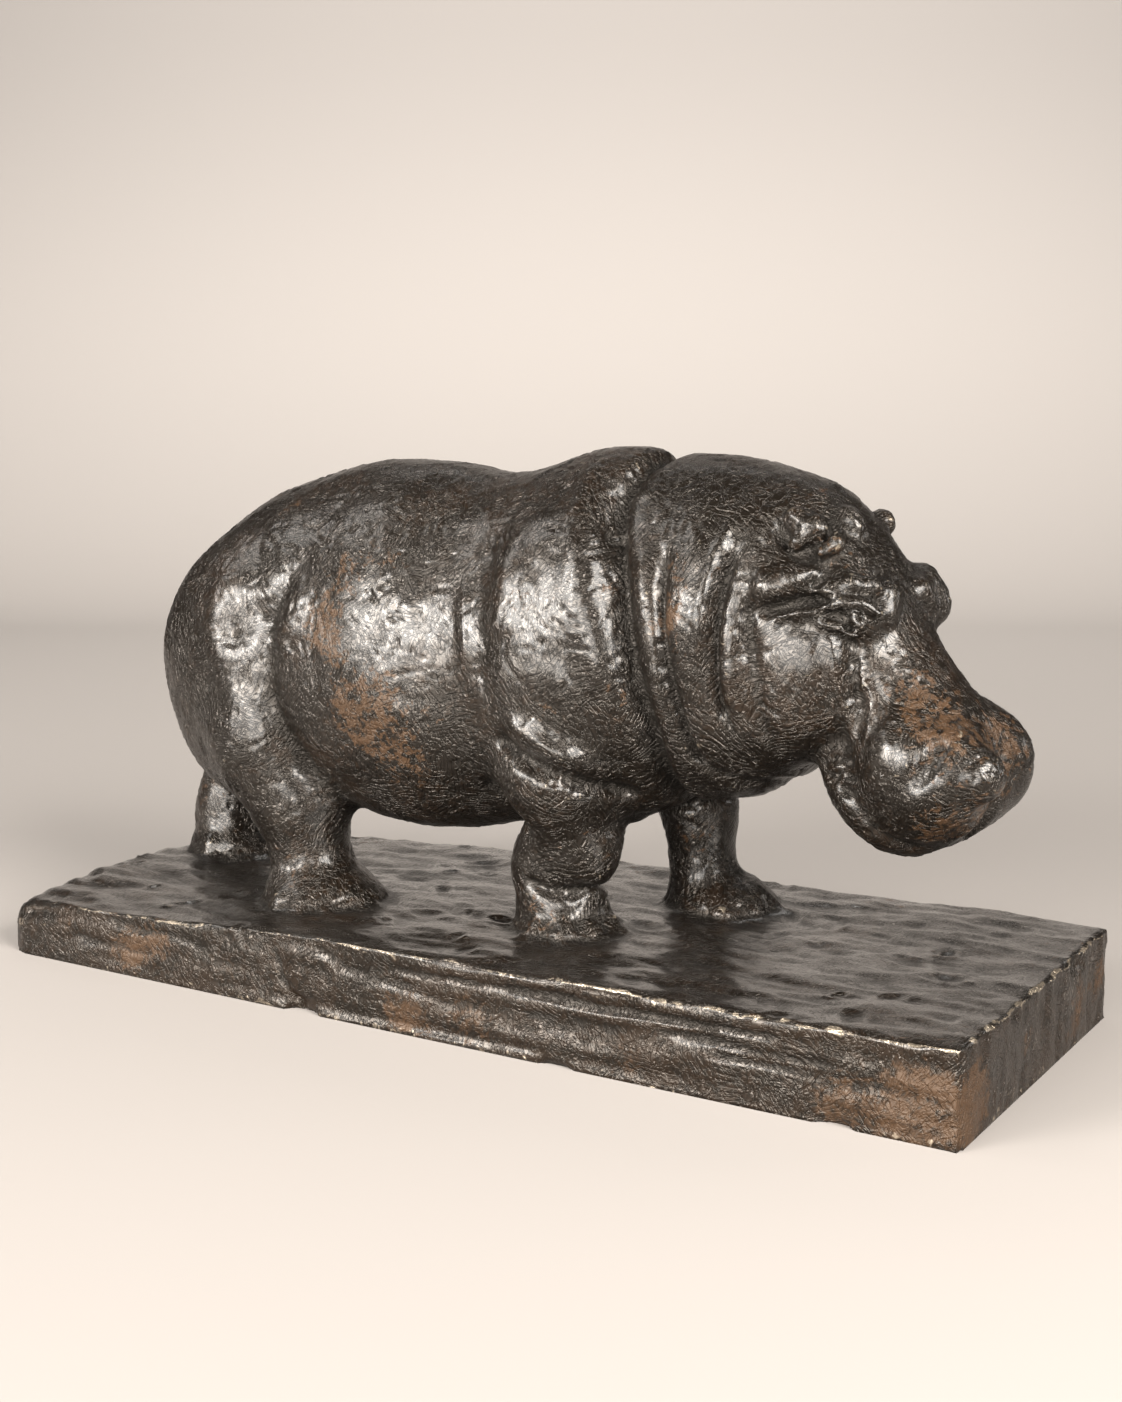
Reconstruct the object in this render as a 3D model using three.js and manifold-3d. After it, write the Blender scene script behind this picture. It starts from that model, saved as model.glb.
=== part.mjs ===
// Bronze hippopotamus walking on a plinth, one casting, in millimetres with +Z up.
// The animal faces +X, its right side is towards -Y, and the underside of the plinth is z = 0.
import * as THREE from 'three';
import { mergeVertices } from 'three/addons/utils/BufferGeometryUtils.js';
import Module from 'manifold-3d';

const plinth = {
  halfLength: 281,
  halfWidth: 105.5,
  topHeight: 36,
  slope: 0.03,
  edgeRound: 3,
  wornEdge: 18,
  wornFrom: -215,
  wornOver: 50,
  cornerRound: 3,
  wornCorner: 16,
  below: 5,
  footSoft: 8,
};
const head = { at: [165, -2, 202], yaw: -9, pitch: 49 };
const toeTilt = 18;
const cell = 3.5;
const wantedTriangles = 9700;
const reach = 45;
const bronze = { color: 0x2e231b, roughness: 0.38, metalness: 0.85 };

// Low hills of the modelled ground: centre x, y, radius x, y and height.
const hills = [
  [-40, 20, 170, 260, 8],
  [-270, -10, 70, 75, 8],
  [-225, 125, 80, 60, 4],
  [200, 125, 90, 60, 4],
  [-20, 125, 150, 60, 2],
];

// Places knocked out of the plinth's edges: centre and half sizes.
const chips = [
  [[-66, -107, 0], [10, 6, 7]],
  [[86, -106, -1], [9, 4, 4]],
  [[225, -106, -1], [7, 5, 5]],
  [[283, -40, 40], [5, 9, 4]],
  [[283, 52, 40], [5, 12, 5]],
  [[-283, 30, 20], [5, 16, 8]],
];

// Rounded masses of the trunk: centre, half sizes, nose-down tilt and softness of the join.
const trunk = {
  belly: [[-50, 0, 164], [117, 74, 84], 0, 10],
  back: [[-62, -1, 212], [109, 53, 64], 0, 30],
  rump: [[-134, 0, 175], [83, 64, 76], 12, 25],
  chest: [[50, 0, 184], [87, 66, 92], 0, 25],
  withers: [[80, 0, 237], [63, 40, 43], 0, 22],
  neck: [[124, -1, 194], [63, 62, 82], 0, 22],
  poll: [[149, -3, 227], [48, 43, 43], 0, 18],
  rightHaunch: [[-158, -35, 157], [52, 30, 68], -8, 18],
  leftHaunch: [[-172, 38, 150], [52, 33, 68], 8, 18],
  rightShoulder: [[50, -42, 182], [40, 30, 69], 6, 16],
  leftShoulder: [[50, 44, 182], [42, 29, 72], 6, 16],
};

// Each leg runs down through stations of centre, radius and softness, then ends in a foot and toes.
const legs = {
  rightHind: {
    stations: [
      [[-135, -42, 124], 33, 14],
      [[-119, -38, 93], 25, 10],
      [[-114, -36, 62], 20, 8],
      [[-108, -36, 42], 25, 8],
    ],
    swellings: [[[-103, -38, 42], [34, 29, 17], 8]],
    toes: { centre: [-106, -38, 40], spread: 25, turns: [-100, -72, -42, -5], size: [7, 6.5, 9] },
  },
  leftHind: {
    stations: [
      [[-184, 38, 135], 36, 14],
      [[-227, 36, 102], 20, 10],
      [[-235, 34, 64], 19, 8],
      [[-232, 34, 42], 23, 8],
    ],
    swellings: [[[-229, 33, 39], [28, 24, 15], 8]],
    toes: { centre: [-234, 33, 42], spread: 19, turns: [-80, -45, -8, 30], size: [7.5, 6.5, 8.5] },
  },
  rightFore: {
    stations: [
      [[50, -42, 126], 30, 10],
      [[51, -30, 96], 22, 8],
      [[38, -27, 76], 22, 6],
      [[42, -27, 50], 24, 6],
    ],
    swellings: [[[57, -33, 85], [19, 18, 20], 7], [[46, -28, 42], [26, 26, 12], 5]],
    toes: { centre: [45, -28, 42], spread: 21.5, turns: [-100, -62, -28, 10], size: [6, 6, 9.5] },
  },
  leftFore: {
    stations: [
      [[72, 46, 125], 28, 12],
      [[80, 48, 92], 18.5, 8],
      [[82, 48, 55], 18, 8],
    ],
    swellings: [[[92, 50, 46], [28, 25, 16], 8]],
    toes: { centre: [92, 50, 42], spread: 22, turns: [-60, -25, 10, 45], size: [8, 7, 9] },
  },
};
const toeSoft = 3;

// Masses of the head in its own directions: forward, left, up.
const skull = {
  cranium: [[-5, -1, 11], [52, 45, 41], 14],
  rightCheek: [[14, -20, -14], [44, 33, 44], 14],
  leftCheek: [[14, 20, -14], [44, 33, 44], 14],
  noseBridge: [[46, 0, 16], [48, 31, 28], 14],
  muzzle: [[91, 1, 8], [34, 43, 36], 16],
  rightLobe: [[98, -21, 18], [23, 22, 27], 6],
  leftLobe: [[96, 20, 17], [26, 21, 28], 6],
  chin: [[82, -1, -17], [36, 34, 20], 8],
  rightBrow: [[15, -29, 37], [16, 8, 9], 7],
  leftBrow: [[18, 27, 42], [16, 9, 10], 7],
  crownKnob: [[-19, -12, 53], [8.5, 6.5, 5], 4],
  nostrilLobe: [[109, -21, 36], [13, 13, 12.5], 4],
  lipSide: [[80, -28, 14], [16, 15, 17], 8],
};

// Features of one side of the face, mirrored to the other: forward, outward, up.
const face = {
  earLobes: [[[-30, 33.5, 41], 6], [[-22, 31.5, 43.5], 8.5], [[-20, 38, 37], 5]],
  earFlatness: 0.9,
  earSoft: 2,
  eyeSocket: [[[18, 42.5, 33], 4.8], [[24, 39.5, 38.5], 7], [[31, 36, 42.5], 5.6]],
  socketSoft: 2,
  eye: [[24, 33.5, 37.5], [5.6, 4.6, 4.6], 1],
  nostril: [[97, 7, 46], [5, 3, 3.4], 2],
  // places with a radius, and the softness they melt in with
  rolls: {
    behindEye: [[[[-13, 50, 9], 5], [[-10.5, 47, 19], 7.5], [[-7, 44, 27], 6.5], [[-4, 39, 36], 3]], 5],
    brow: [[[[4, 41, 30], 2.6], [[8, 38, 38], 3.3], [[12, 32.5, 45], 3.6], [[16, 24, 48], 3.8]], 3.5],
    browKnob: [[[[19, 14, 46], 6.5], [[26, 17, 42], 4.5]], 5],
    lowerLid: [[[[19, 40, 28], 2.4], [[27, 37, 31], 2.8], [[34, 33, 36], 2.4]], 3],
    earFlap: [[[[-14, 27, 49], 3], [[-10, 30, 46], 3.6], [[-10, 34, 41], 3]], 2.5],
  },
  // the left eye and ear lie this much closer in
  farSide: 0.86,
};

// Short flat tail lying down the middle of the rump: two ends, two radii and softness.
const tail = [
  [[-212, 0, 206], [-225, -2, 160], 6, 5, 5],
  [[-225, -2, 160], [-221, -3, 140], 5, 6.5, 4],
];

// Creases on the side view: path of x and z, then width, depth and fading at both ends.
const bodyCreases = {
  collar: [
    [[98, 300], [84, 268], [82, 252], [86, 237], [93, 214], [99, 185], [105, 152], [104, 118], [101, 100]],
    [5.5, 7, 0, 0.1],
  ],
  collarEdge: [
    [[58, 285], [64, 262], [68, 247], [77, 213], [84, 190], [88, 166], [90, 135]],
    [9, -3, 0.1, 0.3],
  ],
  neckRoll: [[[100, 244], [103, 222], [108, 198], [112, 172], [115, 140]], [4, -2, 0.2, 0.3]],
  secondFold: [
    [[112, 243], [114, 225], [116, 208], [120, 180], [125, 150], [130, 134]],
    [4, 5, 0.25, 0.15],
  ],
  foldCrest: [[[134, 254], [131, 232], [129, 208], [128, 172]], [9, -2.4, 0.3, 0.3]],
  sharpCrest: [[[147, 256], [141, 241], [137, 226], [135.5, 205], [133.5, 178]], [3.4, -3, 0.2, 0.3]],
  fourthFold: [
    [[151, 247], [146, 230], [142.5, 207], [143, 185], [144, 167], [151, 148]],
    [3.8, 4.6, 0.25, 0.2],
  ],
  lastCrest: [[[150, 228], [151, 197], [150, 167]], [4, -1.6, 0.3, 0.3]],
  jowlFold: [[[155, 226], [157, 205], [157, 185]], [3.4, 2.2, 0.3, 0.3]],
  shoulderBack: [[[16, 245], [19, 229], [21, 210], [24, 177], [30, 150]], [6, 1.4, 0.3, 0.2]],
  shoulderCrest: [[[30, 240], [32, 215], [34, 185]], [8, -2.2, 0.4, 0.4]],
  elbow: [[[26, 148], [38, 139], [62, 129], [80, 120], [92, 114]], [4, 4.5, 0.2, 0.2]],
  elbowCrest: [[[30, 158], [50, 147], [65, 140], [84, 130]], [5, -3, 0.25, 0.25]],
  armpit: [[[8, 118], [18, 110], [36, 96]], [4, 3.5, 0.2, 0]],
  flank: [[[-88, 238], [-98, 219], [-113, 193], [-114, 155], [-104, 125], [-92, 103]], [6.5, 3.6, 0.4, 0.15]],
  flankCrest: [[[-96, 222], [-98, 203], [-101, 182]], [7, -1.6, 0.3, 0.3]],
  haunchCrest: [[[-130, 230], [-146, 215], [-150, 190], [-137, 155], [-116, 125]], [12, -3, 0.3, 0.3]],
  haunchDip: [[[-112, 199], [-128, 191], [-150, 178]], [9, 2.6, 0.3, 0.3]],
  dewlap: [[[66, 96], [90, 103], [148, 121], [160, 127]], [3.2, 2.4, 0.2, 0.2]],
  jaw: [[[124, 145], [134, 134], [150, 127], [164, 126]], [3.2, 2.6, 0.2, 0.2]],
};
const kneeCrease = [[[30, 72], [44, 67], [56, 66], [68, 70]], [3.4, 3.4, 0.2, 0.2]];

// Creases on the side of the head: path of forward and up, then the same four numbers.
const headCreases = {
  behindEye: [[[-5, 7], [0, 17], [4, 26], [8, 33]], [2.8, 3.6, 0.2, 0.15]],
  cheekCrest: [[[10, 29], [27, 24], [40, 16], [50, 9], [62, 1], [70, -1]], [3.4, -2, 0.15, 0.3]],
  cheekHollow: [[[26, 28], [35, 24], [46, 16], [57, 9]], [3.6, 3, 0.2, 0.3]],
  lobeValley: [[[88, 39], [93, 34], [97, 25], [100, 10]], [5, 3.6, 0.3, 0.3]],
  lipHollow: [[[66, 26], [67, 12], [72, 4], [78, 0]], [3.4, 2.4, 0.3, 0.3]],
  jowlBack: [[[2, 6], [10, -6], [28, -18], [47, -34]], [4, 2.4, 0.3, 0.2]],
  mouth: [[[60, -24], [72, -19], [86, -15], [104, -15], [120, -9]], [3, 2.4, 0.2, 0.1]],
};
// The head's creases fade out before its middle line.
const creaseClear = { from: 6, over: 6 };
const noseGroove = {
  path: [[84, 48], [97, 45], [110, 40], [120, 28], [126, 10], [122, -6]],
  width: 4,
  depth: 3.6,
  along: 9,
  fading: [0.25, 0.2],
};

// A crease is felt within this many of its widths; its path has these steps between two points.
const creaseReach = 2.6;
const stepsPerSpan = 6;
// Box about the head, measured from its own place.
const headBox = { low: [-75, -75, -120], high: [130, 75, 95] };
const chipSoft = 3;
// Limits of the merging: pull towards the old places, least agreement of a face's directions
// before and after, and thinnest triangle as area over longest side squared.
const merging = { pull: 0.02, leastTurn: 0.35, thinnest: 0.03 };
const justInside = -0.2;
// Block that is cut away below the underside.
const wasteSize = [800, 400, 40];

const degrees = (a) => (a * Math.PI) / 180;

// Turn about Z by yaw, then nose down by pitch.
function turned(yaw, pitch) {
  const turn = new THREE.Matrix4().makeRotationZ(degrees(yaw));
  return turn.multiply(new THREE.Matrix4().makeRotationY(degrees(pitch)));
}

const headFrame = turned(head.yaw, head.pitch).setPosition(...head.at);
const onHead = (p) => new THREE.Vector3(...p).applyMatrix4(headFrame).toArray();

function softMin(a, b, k) {
  const h = Math.max(k - Math.abs(a - b), 0) / k;
  return Math.min(a, b) - h * h * k * 0.25;
}
const softMax = (a, b, k) => -softMin(-a, -b, k);

// A block of space sampled on a regular grid; values are distances to the clay, negative inside.
function makeClay() {
  const low = [-297, -117, -14];
  const high = [297, 117, 297];
  const count = low.map((v, i) => Math.ceil((high[i] - v) / cell) + 1);
  const values = new Float32Array(count[0] * count[1] * count[2]).fill(reach);
  return { low, high, count, values };
}

// Visit the grid points inside a box.
function sweep(clay, low, high, visit) {
  const from = low.map((v, i) => Math.max(0, Math.floor((v - clay.low[i]) / cell)));
  const to = high.map((v, i) => Math.min(clay.count[i] - 1, Math.ceil((v - clay.low[i]) / cell)));
  for (let i = from[0]; i <= to[0]; i++) {
    for (let j = from[1]; j <= to[1]; j++) {
      for (let k = from[2]; k <= to[2]; k++) {
        const at = (i * clay.count[1] + j) * clay.count[2] + k;
        const x = clay.low[0] + i * cell;
        const y = clay.low[1] + j * cell;
        const z = clay.low[2] + k * cell;
        clay.values[at] = visit(clay.values[at], x, y, z);
      }
    }
  }
}

// Add or cut an ellipsoid.
function lump(clay, at, size, frame, soft, cut = false) {
  const inverse = frame.clone().setPosition(...at).invert();
  const p = new THREE.Vector3();
  const span = Math.max(...size) + reach;
  sweep(clay, at.map((v) => v - span), at.map((v) => v + span), (old, x, y, z) => {
    p.set(x, y, z).applyMatrix4(inverse);
    const a = Math.hypot(p.x / size[0], p.y / size[1], p.z / size[2]);
    const b = Math.hypot(p.x / size[0] ** 2, p.y / size[1] ** 2, p.z / size[2] ** 2);
    const d = b > 1e-9 ? (a * (a - 1)) / b : -Math.min(...size);
    return cut ? softMax(old, -d, soft) : softMin(old, Math.min(d, reach), soft);
  });
}

// Add or cut a tapered limb with round ends.
function limb(clay, start, end, startRadius, endRadius, soft, cut = false) {
  const a = new THREE.Vector3(...start);
  const axis = new THREE.Vector3(...end).sub(a);
  const lengthSq = axis.lengthSq();
  const taper = startRadius - endRadius;
  const slant = lengthSq - taper * taper;
  const p = new THREE.Vector3();
  const span = Math.max(startRadius, endRadius) + reach;
  const low = start.map((v, i) => Math.min(v, end[i]) - span);
  const high = start.map((v, i) => Math.max(v, end[i]) + span);
  sweep(clay, low, high, (old, x, y, z) => {
    p.set(x, y, z).sub(a);
    const along = p.dot(axis);
    const beyond = along - lengthSq;
    const side = p.multiplyScalar(lengthSq).addScaledVector(axis, -along).lengthSq();
    const alongSq = along * along * lengthSq;
    const beyondSq = beyond * beyond * lengthSq;
    const k = Math.sign(taper) * taper * taper * side;
    let d;
    if (Math.sign(beyond) * slant * beyondSq > k) d = Math.sqrt(side + beyondSq) / lengthSq - endRadius;
    else if (Math.sign(along) * slant * alongSq < k) d = Math.sqrt(side + alongSq) / lengthSq - startRadius;
    else d = (Math.sqrt((side * slant) / lengthSq) + along * taper) / lengthSq - startRadius;
    return cut ? softMax(old, -d, soft) : softMin(old, Math.min(d, reach), soft);
  });
}

// Smooth path through a few points.
function smoothPath(points) {
  const knots = points.map(([a, b]) => new THREE.Vector3(a, b, 0));
  const curve = new THREE.CatmullRomCurve3(knots, false, 'centripetal');
  return curve.getPoints((points.length - 1) * stepsPerSpan);
}

// Distance from a point to the path, and how far along it the nearest place lies, 0 to 1.
function nearest(path, a, b) {
  let best = Infinity;
  let share = 0;
  for (let i = 0; i < path.length - 1; i++) {
    const dx = path[i + 1].x - path[i].x;
    const dy = path[i + 1].y - path[i].y;
    const t = Math.min(1, Math.max(0, ((a - path[i].x) * dx + (b - path[i].y) * dy) / (dx * dx + dy * dy)));
    const d = Math.hypot(a - path[i].x - t * dx, b - path[i].y - t * dy);
    if (d < best) {
      best = d;
      share = (i + t) / (path.length - 1);
    }
  }
  return [best, share];
}

// The depth dies away smoothly over a share of the path at each end.
function fade(share, start, end) {
  const a = start > 0 ? Math.min(1, share / start) : 1;
  const b = end > 0 ? Math.min(1, (1 - share) / end) : 1;
  const f = a * b;
  return f * f * (3 - 2 * f);
}

// Depth of a crease at a point of its own plane.
function creaseDepth(path, width, depth, start, end) {
  return (a, b) => {
    const [d, share] = nearest(path, a, b);
    return depth * Math.exp(-((d / width) ** 2)) * fade(share, start, end);
  };
}

function bodyCrease(clay, [points, [width, depth, start, end]], rightOnly = false) {
  const path = smoothPath(points);
  const depthAt = creaseDepth(path, width, depth, start, end);
  const known = new Map();
  const xs = points.map((p) => p[0]);
  const zs = points.map((p) => p[1]);
  const margin = creaseReach * width;
  const low = [Math.min(...xs) - margin, clay.low[1], Math.min(...zs) - margin];
  const high = [Math.max(...xs) + margin, rightOnly ? 0 : clay.high[1], Math.max(...zs) + margin];
  sweep(clay, low, high, (old, x, y, z) => {
    const key = x * 1e4 + z;
    if (!known.has(key)) known.set(key, depthAt(x, z));
    return old + known.get(key);
  });
}

function headCrease(clay, [points, [width, depth, start, end]]) {
  const depthAt = creaseDepth(smoothPath(points), width, depth, start, end);
  const { from, over } = creaseClear;
  sweepHead(clay, (old, u, v, w) => {
    const share = THREE.MathUtils.clamp((Math.abs(v) - from) / over, 0, 1);
    return share > 0 ? old + depthAt(u, w) * share : old;
  });
}

// Visit the grid points about the head in its own directions.
function sweepHead(clay, visit) {
  const inverse = headFrame.clone().invert();
  const p = new THREE.Vector3();
  const low = headBox.low.map((v, i) => head.at[i] + v);
  const high = headBox.high.map((v, i) => head.at[i] + v);
  sweep(clay, low, high, (old, x, y, z) => {
    p.set(x, y, z).applyMatrix4(inverse);
    return visit(old, p.x, p.y, p.z);
  });
}

function shapeTrunk(clay) {
  for (const [at, size, tilt, soft] of Object.values(trunk)) lump(clay, at, size, turned(0, tilt), soft);
}

function shapeLeg(clay, { stations, swellings, toes }) {
  for (let i = 0; i < stations.length - 1; i++) {
    const [start, startRadius, soft] = stations[i];
    const [end, endRadius] = stations[i + 1];
    limb(clay, start, end, startRadius, endRadius, soft);
  }
  for (const [at, size, soft] of swellings) lump(clay, at, size, turned(0, 0), soft);
  for (const turn of toes.turns) {
    const a = degrees(turn);
    const [x, y, z] = toes.centre;
    const at = [x + toes.spread * Math.cos(a), y + toes.spread * Math.sin(a), z];
    lump(clay, at, toes.size, turned(turn, toeTilt), toeSoft);
  }
}

// A roll of skin or a long cut through a few places of one side of the head.
function rollOnHead(clay, places, side, soft, cut = false) {
  const spots = places.map(([[u, out, w], radius]) => [onHead([u, side * out, w]), radius]);
  for (let i = 0; i < spots.length - 1; i++) {
    limb(clay, spots[i][0], spots[i + 1][0], spots[i][1], spots[i + 1][1], soft, cut);
  }
}

function shapeHead(clay) {
  for (const [at, size, soft] of Object.values(skull)) lump(clay, onHead(at), size, headFrame, soft);
  for (const side of [-1, 1]) {
    const set = side < 0 ? side : side * face.farSide;
    const place = ([u, out, w]) => onHead([u, set * out, w]);
    for (const [at, r] of face.earLobes) {
      lump(clay, place(at), [r, r * face.earFlatness, r], headFrame, face.earSoft);
    }
    rollOnHead(clay, face.eyeSocket, side, face.socketSoft, true);
    const [eyeAt, eyeSize, eyeSoft] = face.eye;
    lump(clay, onHead([eyeAt[0], side * eyeAt[1], eyeAt[2]]), eyeSize, headFrame, eyeSoft);
    for (const [places, soft] of Object.values(face.rolls)) rollOnHead(clay, places, set, soft);
    const [at, size, soft] = face.nostril;
    lump(clay, onHead([at[0], side * at[1], at[2]]), size, headFrame, soft, true);
  }
}

function shapeTail(clay) {
  for (const [start, end, startRadius, endRadius, soft] of tail) {
    limb(clay, start, end, startRadius, endRadius, soft);
  }
}

function carve(clay) {
  for (const crease of Object.values(bodyCreases)) bodyCrease(clay, crease);
  bodyCrease(clay, kneeCrease, true);
  for (const crease of Object.values(headCreases)) headCrease(clay, crease);
  const path = smoothPath(noseGroove.path);
  sweepHead(clay, (old, u, v, w) => {
    const [d, share] = nearest(path, u, w);
    const { depth, width, along, fading } = noseGroove;
    return old + depth * Math.exp(-((v / width) ** 2) - (d / along) ** 2) * fade(share, ...fading);
  });
}

// Uneven block under the feet, thicker towards the head, left to run below z = 0 for the flat cut.
function shapePlinth(clay) {
  const { halfLength, halfWidth, topHeight, slope, edgeRound, wornEdge, cornerRound, wornCorner } = plinth;
  const low = [-halfLength - reach, -halfWidth - reach, -2 * reach];
  const high = [halfLength + reach, halfWidth + reach, 2 * topHeight];
  sweep(clay, low, high, (old, x, y, z) => {
    let top = topHeight + slope * x;
    for (const [hx, hy, rx, ry, height] of hills) {
      top += height * Math.exp(-(((x - hx) / rx) ** 2) - ((y - hy) / ry) ** 2);
    }
    const corner = x < 0 ? wornCorner : cornerRound;
    const tailEnd = THREE.MathUtils.smoothstep(plinth.wornFrom - x, 0, plinth.wornOver);
    const edge = THREE.MathUtils.lerp(edgeRound, wornEdge, tailEnd);
    const a = Math.abs(x) - (halfLength - corner);
    const b = Math.abs(y) - (halfWidth - corner);
    const plan = Math.hypot(Math.max(a, 0), Math.max(b, 0)) + Math.min(Math.max(a, b), 0) - corner;
    const block = Math.max(softMax(plan, z - top, edge), -plinth.below - z);
    return softMin(old, Math.min(block, reach), plinth.footSoft);
  });
}

function knockChips(clay) {
  for (const [at, size] of chips) lump(clay, at, size, turned(0, 0), chipSoft, true);
}

// Fill the grid points that meet only corner to corner, so that every edge of the skin has two sides.
function settle(clay) {
  const [nx, ny, nz] = clay.count;
  const steps = [ny * nz, nz, 1];
  for (let changed = true; changed; ) {
    changed = false;
    for (let at = 0; at < (nx - 1) * ny * nz - steps[1]; at++) {
      for (let axis = 0; axis < 3; axis++) {
        const [p, q] = [steps[(axis + 1) % 3], steps[(axis + 2) % 3]];
        const ring = [at, at + p, at + p + q, at + q];
        const inside = ring.map((i) => clay.values[i] < 0);
        if (inside[0] !== inside[2] || inside[1] !== inside[3] || inside[0] === inside[1]) continue;
        for (const i of ring) {
          if (clay.values[i] >= 0) clay.values[i] = justInside;
        }
        changed = true;
      }
    }
  }
}

// Skin the clay: one point in every grid cell that the surface crosses, joined into triangles.
function skin(clay) {
  const [nx, ny, nz] = clay.count;
  const index = (i, j, k) => (i * ny + j) * nz + k;
  const corners = [];
  for (let c = 0; c < 8; c++) corners.push([c & 1, (c >> 1) & 1, (c >> 2) & 1]);
  const points = [];
  const pointOf = new Map();
  for (let i = 0; i < nx - 1; i++) {
    for (let j = 0; j < ny - 1; j++) {
      for (let k = 0; k < nz - 1; k++) {
        const depth = corners.map(([a, b, c]) => clay.values[index(i + a, j + b, k + c)]);
        const inside = depth.filter((d) => d < 0).length;
        if (inside === 0 || inside === 8) continue;
        const middle = crossingMiddle(corners, depth);
        pointOf.set(index(i, j, k), points.length);
        const place = new THREE.Vector3(i, j, k).add(middle).multiplyScalar(cell);
        points.push(place.add(new THREE.Vector3(...clay.low)));
      }
    }
  }
  const triangles = [];
  const steps = [[1, 0, 0], [0, 1, 0], [0, 0, 1]];
  for (let i = 1; i < nx - 1; i++) {
    for (let j = 1; j < ny - 1; j++) {
      for (let k = 1; k < nz - 1; k++) {
        const here = clay.values[index(i, j, k)] < 0;
        steps.forEach(([a, b, c], axis) => {
          const there = clay.values[index(i + a, j + b, k + c)] < 0;
          if (here === there) return;
          const [p, q] = [steps[(axis + 1) % 3], steps[(axis + 2) % 3]];
          const ring = [[0, 0], [1, 0], [1, 1], [0, 1]].map(([s, t]) =>
            pointOf.get(index(i - s * p[0] - t * q[0], j - s * p[1] - t * q[1], k - s * p[2] - t * q[2])),
          );
          if (!here) ring.reverse();
          triangles.push([ring[0], ring[1], ring[2]], [ring[0], ring[2], ring[3]]);
        });
      }
    }
  }
  return { points, triangles };
}

// Mean of the places where the surface crosses the edges of one cell.
function crossingMiddle(corners, depth) {
  const middle = new THREE.Vector3();
  let crossings = 0;
  for (let a = 0; a < 8; a++) {
    for (const bit of [1, 2, 4]) {
      const b = a | bit;
      if (b === a || depth[a] < 0 === depth[b] < 0) continue;
      const t = depth[a] / (depth[a] - depth[b]);
      middle.add(new THREE.Vector3(...corners[a]).lerp(new THREE.Vector3(...corners[b]), t));
      crossings++;
    }
  }
  return middle.divideScalar(crossings);
}

// Squared distance to a set of planes, kept as ten sums.
function planeSums([a, b, c]) {
  const normal = new THREE.Vector3().subVectors(b, a).cross(new THREE.Vector3().subVectors(c, a));
  const area = normal.length();
  normal.divideScalar(area || 1);
  const { x, y, z } = normal;
  const d = -normal.dot(a);
  return [x * x, x * y, x * z, x * d, y * y, y * z, y * d, z * z, z * d, d * d].map((s) => s * area);
}

// A weak pull back to the starting place keeps every solution definite.
function pullSums(p, weight) {
  const s = [1, 0, 0, -p.x, 1, 0, -p.y, 1, -p.z, p.lengthSq()];
  return s.map((v) => v * weight);
}

function sumsAt(s, { x, y, z }) {
  return (
    s[0] * x * x + s[4] * y * y + s[7] * z * z + s[9] +
    2 * (s[1] * x * y + s[2] * x * z + s[5] * y * z + s[3] * x + s[6] * y + s[8] * z)
  );
}

function lowestPoint(s) {
  const m = new THREE.Matrix3().set(s[0], s[1], s[2], s[1], s[4], s[5], s[2], s[5], s[7]);
  return new THREE.Vector3(-s[3], -s[6], -s[8]).applyMatrix3(m.invert());
}

// Queue that gives back the cheapest entry first.
function makeQueue() {
  const heap = [];
  const swap = (a, b) => ([heap[a], heap[b]] = [heap[b], heap[a]]);
  return {
    push(entry) {
      heap.push(entry);
      let at = heap.length - 1;
      while (at > 0 && heap[at].cost < heap[(at - 1) >> 1].cost) {
        swap(at, (at - 1) >> 1);
        at = (at - 1) >> 1;
      }
    },
    pop() {
      const first = heap[0];
      const last = heap.pop();
      if (heap.length > 0) heap[0] = last;
      for (let at = 0; ; ) {
        let low = 2 * at + 1;
        if (low >= heap.length) break;
        if (low + 1 < heap.length && heap[low + 1].cost < heap[low].cost) low++;
        if (heap[at].cost <= heap[low].cost) break;
        swap(at, low);
        at = low;
      }
      return first;
    },
    get size() {
      return heap.length;
    },
  };
}

// Merge neighbouring points, cheapest first, until the wanted number of triangles is left.
function simplify({ points, triangles }, wanted) {
  const faces = triangles.map((t) => [...t]);
  const around = points.map(() => new Set());
  const sums = points.map((p) => pullSums(p, merging.pull));
  const stamp = points.map(() => 0);
  faces.forEach((face, f) => {
    const plane = planeSums(face.map((v) => points[v]));
    for (const v of face) {
      around[v].add(f);
      plane.forEach((s, i) => (sums[v][i] += s));
    }
  });
  const neighbours = (v) => new Set([...around[v]].flatMap((f) => faces[f]).filter((w) => w !== v));
  const queue = makeQueue();
  const offer = (a, b) => {
    const total = sums[a].map((s, i) => s + sums[b][i]);
    const at = lowestPoint(total);
    queue.push({ cost: sumsAt(total, at), a, b, at, total, stamps: [stamp[a], stamp[b]] });
  };
  points.forEach((p, a) => neighbours(a).forEach((b) => a < b && offer(a, b)));
  let left = faces.length;
  while (left > wanted && queue.size > 0) {
    const { a, b, at, total, stamps } = queue.pop();
    if (stamp[a] !== stamps[0] || stamp[b] !== stamps[1]) continue;
    const nearA = neighbours(a);
    const shared = [...neighbours(b)].filter((v) => nearA.has(v));
    if (shared.length !== 2 || turnsOver(points, faces, around, a, b, at)) continue;
    points[a] = at;
    sums[a] = total;
    for (const f of around[b]) {
      if (faces[f].includes(a)) {
        for (const v of faces[f]) if (v !== b) around[v].delete(f);
        faces[f] = null;
        left--;
      } else {
        faces[f] = faces[f].map((v) => (v === b ? a : v));
        around[a].add(f);
      }
    }
    around[b] = new Set();
    stamp[b] = -1;
    stamp[a]++;
    for (const v of neighbours(a)) offer(a, v);
  }
  return { points, triangles: faces.filter(Boolean) };
}

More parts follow.
